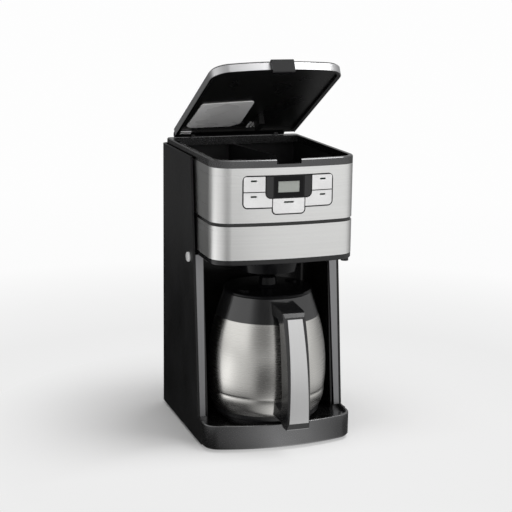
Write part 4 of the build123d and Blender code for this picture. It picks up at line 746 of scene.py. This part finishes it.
def screw_places():
    """Seats of the four base screws and the six back screws, with the way each head faces."""
    base_low, base_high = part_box("base_cover")
    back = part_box("back_panel")[1]
    places = [(side * (base_high.x - inset), y, base_low.z) for inset, y in BASE_SCREWS for side in (-1, 1)]
    facings = [(0.0, 0.0, -1.0)] * len(places)
    for z in BACK_SCREW_HEIGHTS:
        for side in (-1, 1):
            places.append((side * (back.x - BACK_SCREW_INSET), back.y, z))
            facings.append((0.0, 1.0, 0.0))
    return places, facings


def screw_head(tree, sizes):
    """A domed head with a cross recess, its seat at the origin."""
    radius = tree.size("Head radius", sizes.screw_radius)
    height = tree.size("Head height", sizes.screw_height)
    slot = tree.size("Recess width", sizes.screw_slot)
    disc = tree.node("GeometryNodeMeshCylinder", {"Radius": radius, "Depth": height},
                     Vertices=32, **{"Side Segments": 3, "Fill Segments": 4})
    parts = tree.split(tree.node("GeometryNodeInputPosition").outputs[0])
    out = tree.math("SQRT", tree.math("ADD", tree.math("MULTIPLY", parts["X"], parts["X"]),
                                      tree.math("MULTIPLY", parts["Y"], parts["Y"])))
    share = tree.math("DIVIDE", out, radius)
    drop = tree.math("MULTIPLY", tree.math("MULTIPLY", tree.math("MULTIPLY", share, share), height), -DOME_DROP)
    upper = tree.math("GREATER_THAN", parts["Z"], 0.0)
    domed = tree.node("GeometryNodeSetPosition", {"Geometry": disc.outputs["Mesh"],
                                                  "Offset": tree.vector(Z=tree.math("MULTIPLY", drop, upper))})
    cut = tree.node("GeometryNodeMeshBoolean", {"Mesh 1": domed.outputs["Geometry"]},
                    operation="DIFFERENCE", solver="EXACT")
    arm = tree.math("MULTIPLY", radius, RECESS_REACH)
    lift = tree.vector(Z=tree.math("MULTIPLY", height, RECESS_LIFT))
    for wide, deep in ((arm, slot), (slot, arm)):
        cutter = tree.node("GeometryNodeMeshCube", {"Size": tree.vector(X=wide, Y=deep, Z=height)})
        tree.link(tree.moved(cutter.outputs["Mesh"], lift), cut.inputs["Mesh 2"])
    return tree.moved(cut.outputs["Mesh"], tree.vector(Z=tree.math("MULTIPLY", height, 0.5)))


class MAKER_OT_screws(bpy.types.Operator):
    """Place the cross-recessed screws under the base and in the back"""

    bl_idname = "maker.screws"
    bl_label = "Housing screws"

    def execute(self, context):
        places, facings = screw_places()
        seats = plain_mesh("screw_places", places)
        layer = seats.attributes.new("facing", "FLOAT_VECTOR", "POINT")
        for index, facing in enumerate(facings):
            layer.data[index].vector = facing
        tree = Tree("housing screws", finishes["zinc"])
        head = screw_head(tree, context.scene.maker_sizes)
        facing = tree.node("GeometryNodeInputNamedAttribute", data_type="FLOAT_VECTOR", Name="facing")
        turn = tree.node("FunctionNodeAlignRotationToVector", {"Vector": facing.outputs[0]}, axis="Z")
        copies = tree.node("GeometryNodeInstanceOnPoints", {"Points": tree.start.outputs[0], "Instance": head,
                                                            "Rotation": turn.outputs["Rotation"]})
        tree.finish(copies.outputs["Instances"])
        piece = tree.bake("screw_heads", seats)
        facing_out(piece, sharp_angle=30.0)
        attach(piece, "housing")
        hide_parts("housing_screws")
        return {"FINISHED"}


class MAKER_OT_spring(bpy.types.Operator):
    """Wind the spring of the drip valve"""

    bl_idname = "maker.spring"
    bl_label = "Valve spring"

    def execute(self, context):
        low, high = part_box("valve_spring")
        axis = middle("valve_spring")
        tree = Tree("wound spring", finishes["zinc"])
        turns = tree.size("Turns", context.scene.maker_sizes.spring_turns)
        wire = tree.size("Wire radius", SPRING_WIRE)
        reach = tree.size("Coil radius", (high.x - low.x) / 2 - SPRING_WIRE)
        rise = tree.size("Coil height", high.z - low.z - 2 * SPRING_WIRE)
        coil = tree.node("GeometryNodeCurveSpiral", {"Rotations": turns, "Start Radius": reach, "End Radius": reach,
                                                     "Height": rise}, Resolution=32)
        section = tree.node("GeometryNodeCurvePrimitiveCircle", {"Radius": wire}, Resolution=12)
        wound = tree.node("GeometryNodeCurveToMesh", {"Curve": coil.outputs["Curve"],
                                                      "Profile Curve": section.outputs["Curve"]}, **{"Fill Caps": True})
        tree.finish(tree.moved(wound.outputs["Mesh"], tree.vector(X=axis.x, Y=axis.y, Z=low.z + SPRING_WIRE)))
        piece = tree.bake("wound_spring", plain_mesh("spring_seed", [(0.0, 0.0, 0.0)]))
        facing_out(piece, sharp_angle=40.0)
        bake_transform(piece)
        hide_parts("valve_spring")
        return {"FINISHED"}


class MAKER_OT_level_marks(bpy.types.Operator):
    """Mould the water level marks on the inner wall of the reservoir"""

    bl_idname = "maker.level_marks"
    bl_label = "Level marks"

    def execute(self, context):
        sizes = context.scene.maker_sizes
        wall_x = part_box("reservoir")[0].x + MARK_INSET
        tree = Tree("water level marks", finishes["marks"])
        count = tree.size("Marks", sizes.mark_count, "NodeSocketInt")
        length = tree.size("Mark length", sizes.mark_length)
        line = tree.node("GeometryNodeMeshLine", {"Count": count}, mode="END_POINTS",
                         **{"Start Location": (wall_x, MARK_Y, MARK_LOW), "Offset": (wall_x, MARK_Y, MARK_HIGH)})
        bar = tree.node("GeometryNodeMeshCube", {"Size": tree.vector(X=MARK_RELIEF, Y=length, Z=MARK_HEIGHT)})
        copies = tree.node("GeometryNodeInstanceOnPoints",
                           {"Points": line.outputs["Mesh"], "Instance": bar.outputs["Mesh"]})
        tree.finish(copies.outputs["Instances"])
        piece = tree.bake("level_marks", plain_mesh("mark_seed", [(0.0, 0.0, 0.0)]))
        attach(piece, "housing")
        return {"FINISHED"}


# ---------------------------------------------------------------- stage
# brightness round the machine in its reflections: 0 and 1 are its left, 0.25 the front, 0.5 the right, 0.75 the back
SKY_ROUND = ((0.0, 0.10), (0.05, 0.30), (0.10, 0.60), (0.15, 0.20), (0.21, 0.20), (0.25, 0.90), (0.30, 1.0),
             (0.45, 0.9), (0.56, 0.5), (0.75, 0.3), (1.0, 0.10))
# the same for the floor in reflections, each ring with the distance at which it starts; the rings are painted shade and
# a painted reflection
PAINTED_FLOOR_RINGS = (
    # nearest ring: painted shade of the machine on the floor close to it, dark except in front
    (0.0, ((0.0, 0.02), (0.12, 0.04), (0.19, 0.45), (0.25, 1.0), (0.32, 0.8), (0.40, 0.15), (0.56, 0.05), (0.75, 0.0),
           (1.0, 0.02))),
    # middle ring: the dark stretch from 0.17 to 0.21 is a painted reflection of the handle and its shadow
    (0.24, ((0.0, 1.6), (0.03, 1.25), (0.06, 0.92), (0.10, 0.70), (0.125, 0.62), (0.145, 0.40), (0.17, 0.06),
            (0.21, 0.06), (0.27, 0.60), (0.46, 0.75), (0.58, 0.25), (0.75, 0.0), (0.91, 0.0), (0.955, 1.3),
            (1.0, 1.6))),
    (1.35, ((0.0, 0.50), (0.06, 0.52), (0.12, 0.80), (0.18, 1.0), (0.30, 1.0), (0.45, 0.85), (0.56, 0.3),
            (0.75, 0.03), (0.80, 0.05), (0.84, 0.36), (0.91, 0.45), (0.95, 0.55), (1.0, 0.50))),
)
# what the camera sees of the floor away from the machine, out to two metres
FLOOR_GLOW = ((0.0, 0.87), (0.28, 0.84), (0.40, 0.89), (0.55, 0.97), (1.0, 0.985))
# a pale wall low on the left, by direction and by height
SKY_LEFT = ((0.0, 1.0), (0.08, 1.0), (0.14, 0.0), (0.75, 0.0), (0.88, 0.0), (0.93, 1.0), (1.0, 1.0))
SKY_LEFT_HIGH = ((0.0, 1.2), (0.42, 1.2), (0.60, 0.2), (0.80, 0.1), (1.0, 0.1))
# brightness overhead by height, from level to straight up
SKY_HIGH = ((0.0, 0.0), (0.40, 0.0), (0.52, 0.85), (0.66, 0.8), (0.80, 0.10), (1.0, 0.10))
# ambient light from ahead, by direction and by height
AMBIENT_ROUND = ((0.0, 0.0), (0.08, 0.1), (0.18, 1.0), (0.32, 1.0), (0.42, 0.1), (0.5, 0.0), (0.75, 0.0), (1.0, 0.0))
AMBIENT_HIGH = ((0.0, 1.0), (0.35, 1.0), (0.60, 0.0), (1.0, 0.0))
AMBIENT_LOW, AMBIENT_TOP = 0.46, 2.1
RING_BLEND = 0.12  # share of a ring's distance over which it fades in
FLOOR_RADIUS = 9.0
FADE_OUT = (0.17, 0.42)  # distances over which the camera's view of the floor turns to its glow
FADE_FRONT, FADE_FRONT_SHARE = (-0.03, -0.13), 0.9
LAMP_AIM = Vector((0.0, 0.0, 0.2))
LAMPS = (("key light", (0.85, -0.50, 2.1), 0.9, 22.0), ("top light", (-0.3, 0.0, 2.6), 1.8, 10.0))
CAMERA_PLACE = (-0.59823, -1.77170, 0.65657)
CAMERA_AZIMUTH, CAMERA_DROP, CAMERA_ROLL = math.radians(-18.0), math.radians(12.03), math.radians(0.64)
LENS, SENSOR = 97.19, 36.0
SHIFT_X, SHIFT_Y = 0.0158, -0.0138


def floor_seen(made, distance):
    """The floor as the camera sees it: shaded near the machine, glowing white away from it."""
    front = made.split(made.coords)["Y"]
    clear = made.math("MAXIMUM", made.spread(distance, 0.0, 1.0, *FADE_OUT),
                      made.spread(front, 0.0, FADE_FRONT_SHARE, *FADE_FRONT))
    fade = made.math("MULTIPLY", clear, made.node("ShaderNodeLightPath").outputs["Is Camera Ray"])
    reach = made.spread(distance, 0.0, 1.0, 0.0, 2.0)
    glow = made.node("ShaderNodeEmission", {"Color": made.grey_ramp(reach, FLOOR_GLOW)}, Strength=1.0)
    return made.mix_shaders(fade, made.shader.outputs[0], glow.outputs[0])


def floor_painted_for_reflections(made, distance):
    """What shiny surfaces see of the floor, a glow with painted shade: pale in front, dark on the left and darker far
    away.
    """
    shade = made.round_about(made.coords, PAINTED_FLOOR_RINGS[0][1])
    for reach, stops in PAINTED_FLOOR_RINGS[1:]:
        mixed = made.node("ShaderNodeMix", data_type="RGBA")
        inside = made.spread(distance, 0.0, 1.0, (1 - RING_BLEND) * reach, (1 + RING_BLEND) * reach)
        # a colour mix takes its factor at 0 and its colours at 6 and 7, and gives its result at 2
        for index, source in ((0, inside), (6, shade), (7, made.round_about(made.coords, stops))):
            made.link(source, mixed.inputs[index])
        shade = mixed.outputs[2]
    return made.node("ShaderNodeEmission", {"Color": shade}, Strength=1.0).outputs[0]


def make_floor():
    """A round pale floor that fades to white away from the machine; shiny surfaces see a glow with painted shade on it
    instead.
    """
    work = bmesh.new()
    bmesh.ops.create_circle(work, cap_ends=True, segments=96, radius=FLOOR_RADIUS)
    floor = placed("floor", mesh_of("floor", work))
    made = Finish("pale floor", (0.84, 0.84, 0.84), 0.6, specular=0.2)
    made.mottle(made.noise(3.0, 2.0), 0.01)
    length = made.node("ShaderNodeVectorMath", operation="LENGTH")
    made.link(made.coords, length.inputs[0])
    distance = length.outputs["Value"]
    glossy = made.node("ShaderNodeLightPath").outputs["Is Glossy Ray"]
    # shiny surfaces see the glow with painted shade, not the lit floor
    final = made.mix_shaders(glossy, floor_seen(made, distance), floor_painted_for_reflections(made, distance))
    made.link(final, made.tree.nodes["Material Output"].inputs["Surface"])
    floor.data.materials.append(made.material)


def make_surroundings(scene):
    """White to the camera, and to shiny surfaces a room that is darker on the left of the machine."""
    scene.world = bpy.data.worlds.new("surroundings")
    scene.world.use_nodes = True
    sky = Graph(scene.world.node_tree)
    sky.tree.nodes.clear()
    output = sky.node("ShaderNodeOutputWorld")
    path = sky.node("ShaderNodeLightPath").outputs
    around = sky.node("ShaderNodeTexCoord").outputs["Generated"]
    up = sky.split(around)["Z"]

    def area(direction, height):
        """Brightness by direction times brightness by height."""
        return sky.math("MULTIPLY", sky.round_about(around, direction), sky.grey_ramp(up, height))

    shown = sky.math("MAXIMUM", sky.math("MAXIMUM", sky.round_about(around, SKY_ROUND), sky.grey_ramp(up, SKY_HIGH)),
                     area(SKY_LEFT, SKY_LEFT_HIGH))
    strength = sky.spread(area(AMBIENT_ROUND, AMBIENT_HIGH), AMBIENT_LOW, AMBIENT_TOP)
    plain = sky.node("ShaderNodeBackground", {"Strength": strength}, Color=(1.0, 0.995, 0.99, 1.0))
    mirrored = sky.node("ShaderNodeBackground", {"Color": shown}, Strength=1.0)
    seen = sky.node("ShaderNodeBackground", Color=grey(0.985), Strength=1.0)
    glossy = sky.math("MAXIMUM", path["Is Glossy Ray"], path["Is Transmission Ray"])
    lit = sky.mix_shaders(glossy, plain.outputs[0], mirrored.outputs[0])
    sky.link(sky.mix_shaders(path["Is Camera Ray"], lit, seen.outputs[0]), output.inputs["Surface"])


def soft_light(name, place, width, power):
    """A square soft light aimed at the middle of the machine."""
    lamp = bpy.data.lights.new(name, "AREA")
    lamp.shape = "SQUARE"
    lamp.size = width
    lamp.energy = power
    holder = placed(name, lamp)
    holder.location = place
    holder.rotation_euler = (LAMP_AIM - Vector(place)).to_track_quat("-Z", "Y").to_euler()


def make_camera(scene):
    """A long lens from the front left, a little above the machine."""
    lens = bpy.data.cameras.new("camera")
    lens.lens, lens.sensor_width = LENS, SENSOR
    lens.shift_x, lens.shift_y = SHIFT_X, SHIFT_Y
    lens.clip_end = 60.0
    ahead = Vector((-math.sin(CAMERA_AZIMUTH) * math.cos(CAMERA_DROP),
                    math.cos(CAMERA_AZIMUTH) * math.cos(CAMERA_DROP), -math.sin(CAMERA_DROP)))
    turn = ahead.to_track_quat("-Z", "Y").to_matrix() @ Matrix.Rotation(CAMERA_ROLL, 3, "Z")
    scene.camera = placed("camera", lens)
    scene.camera.matrix_world = Matrix.Translation(CAMERA_PLACE) @ turn.to_4x4()


class MAKER_OT_stage(bpy.types.Operator):
    """Set the pale floor, the soft lights, the surroundings and the camera"""

    bl_idname = "maker.stage"
    bl_label = "Stage"

    def execute(self, context):
        context.scene.view_settings.view_transform = "Standard"
        make_floor()
        make_surroundings(context.scene)
        for lamp in LAMPS:
            soft_light(*lamp)
        make_camera(context.scene)
        return {"FINISHED"}


# ---------------------------------------------------------------- panel and run
class MAKER_PT_panel(bpy.types.Panel):
    """Sizes, colours and steps of the coffee maker"""

    bl_idname = "MAKER_PT_panel"
    bl_label = "Coffee maker"
    bl_space_type = "VIEW_3D"
    bl_region_type = "UI"
    bl_category = "Coffee maker"

    def draw(self, context):
        layout = self.layout
        for group in (context.scene.maker_colours, context.scene.maker_sizes):
            column = layout.column()
            for key in group.__annotations__:
                column.prop(group, key)
        for step in STEPS:
            layout.operator(step.bl_idname)


STEPS = (
    MAKER_OT_materials, MAKER_OT_body, MAKER_OT_head, MAKER_OT_door, MAKER_OT_lid, MAKER_OT_lid_trim,
    MAKER_OT_carafe, MAKER_OT_screws, MAKER_OT_spring, MAKER_OT_level_marks, MAKER_OT_stage,
)
CLASSES = (MakerColours, MakerSizes, *STEPS, MAKER_PT_panel)


def register():
    for kind in CLASSES:
        bpy.utils.register_class(kind)
    bpy.types.Scene.maker_colours = bpy.props.PointerProperty(type=MakerColours)
    bpy.types.Scene.maker_sizes = bpy.props.PointerProperty(type=MakerSizes)


def unregister():
    del bpy.types.Scene.maker_sizes
    del bpy.types.Scene.maker_colours
    for kind in reversed(CLASSES):
        bpy.utils.unregister_class(kind)


def main():
    register()
    for step in STEPS:
        group, name = step.bl_idname.split(".")
        getattr(getattr(bpy.ops, group), name)()


if __name__ == "__main__":
    main()
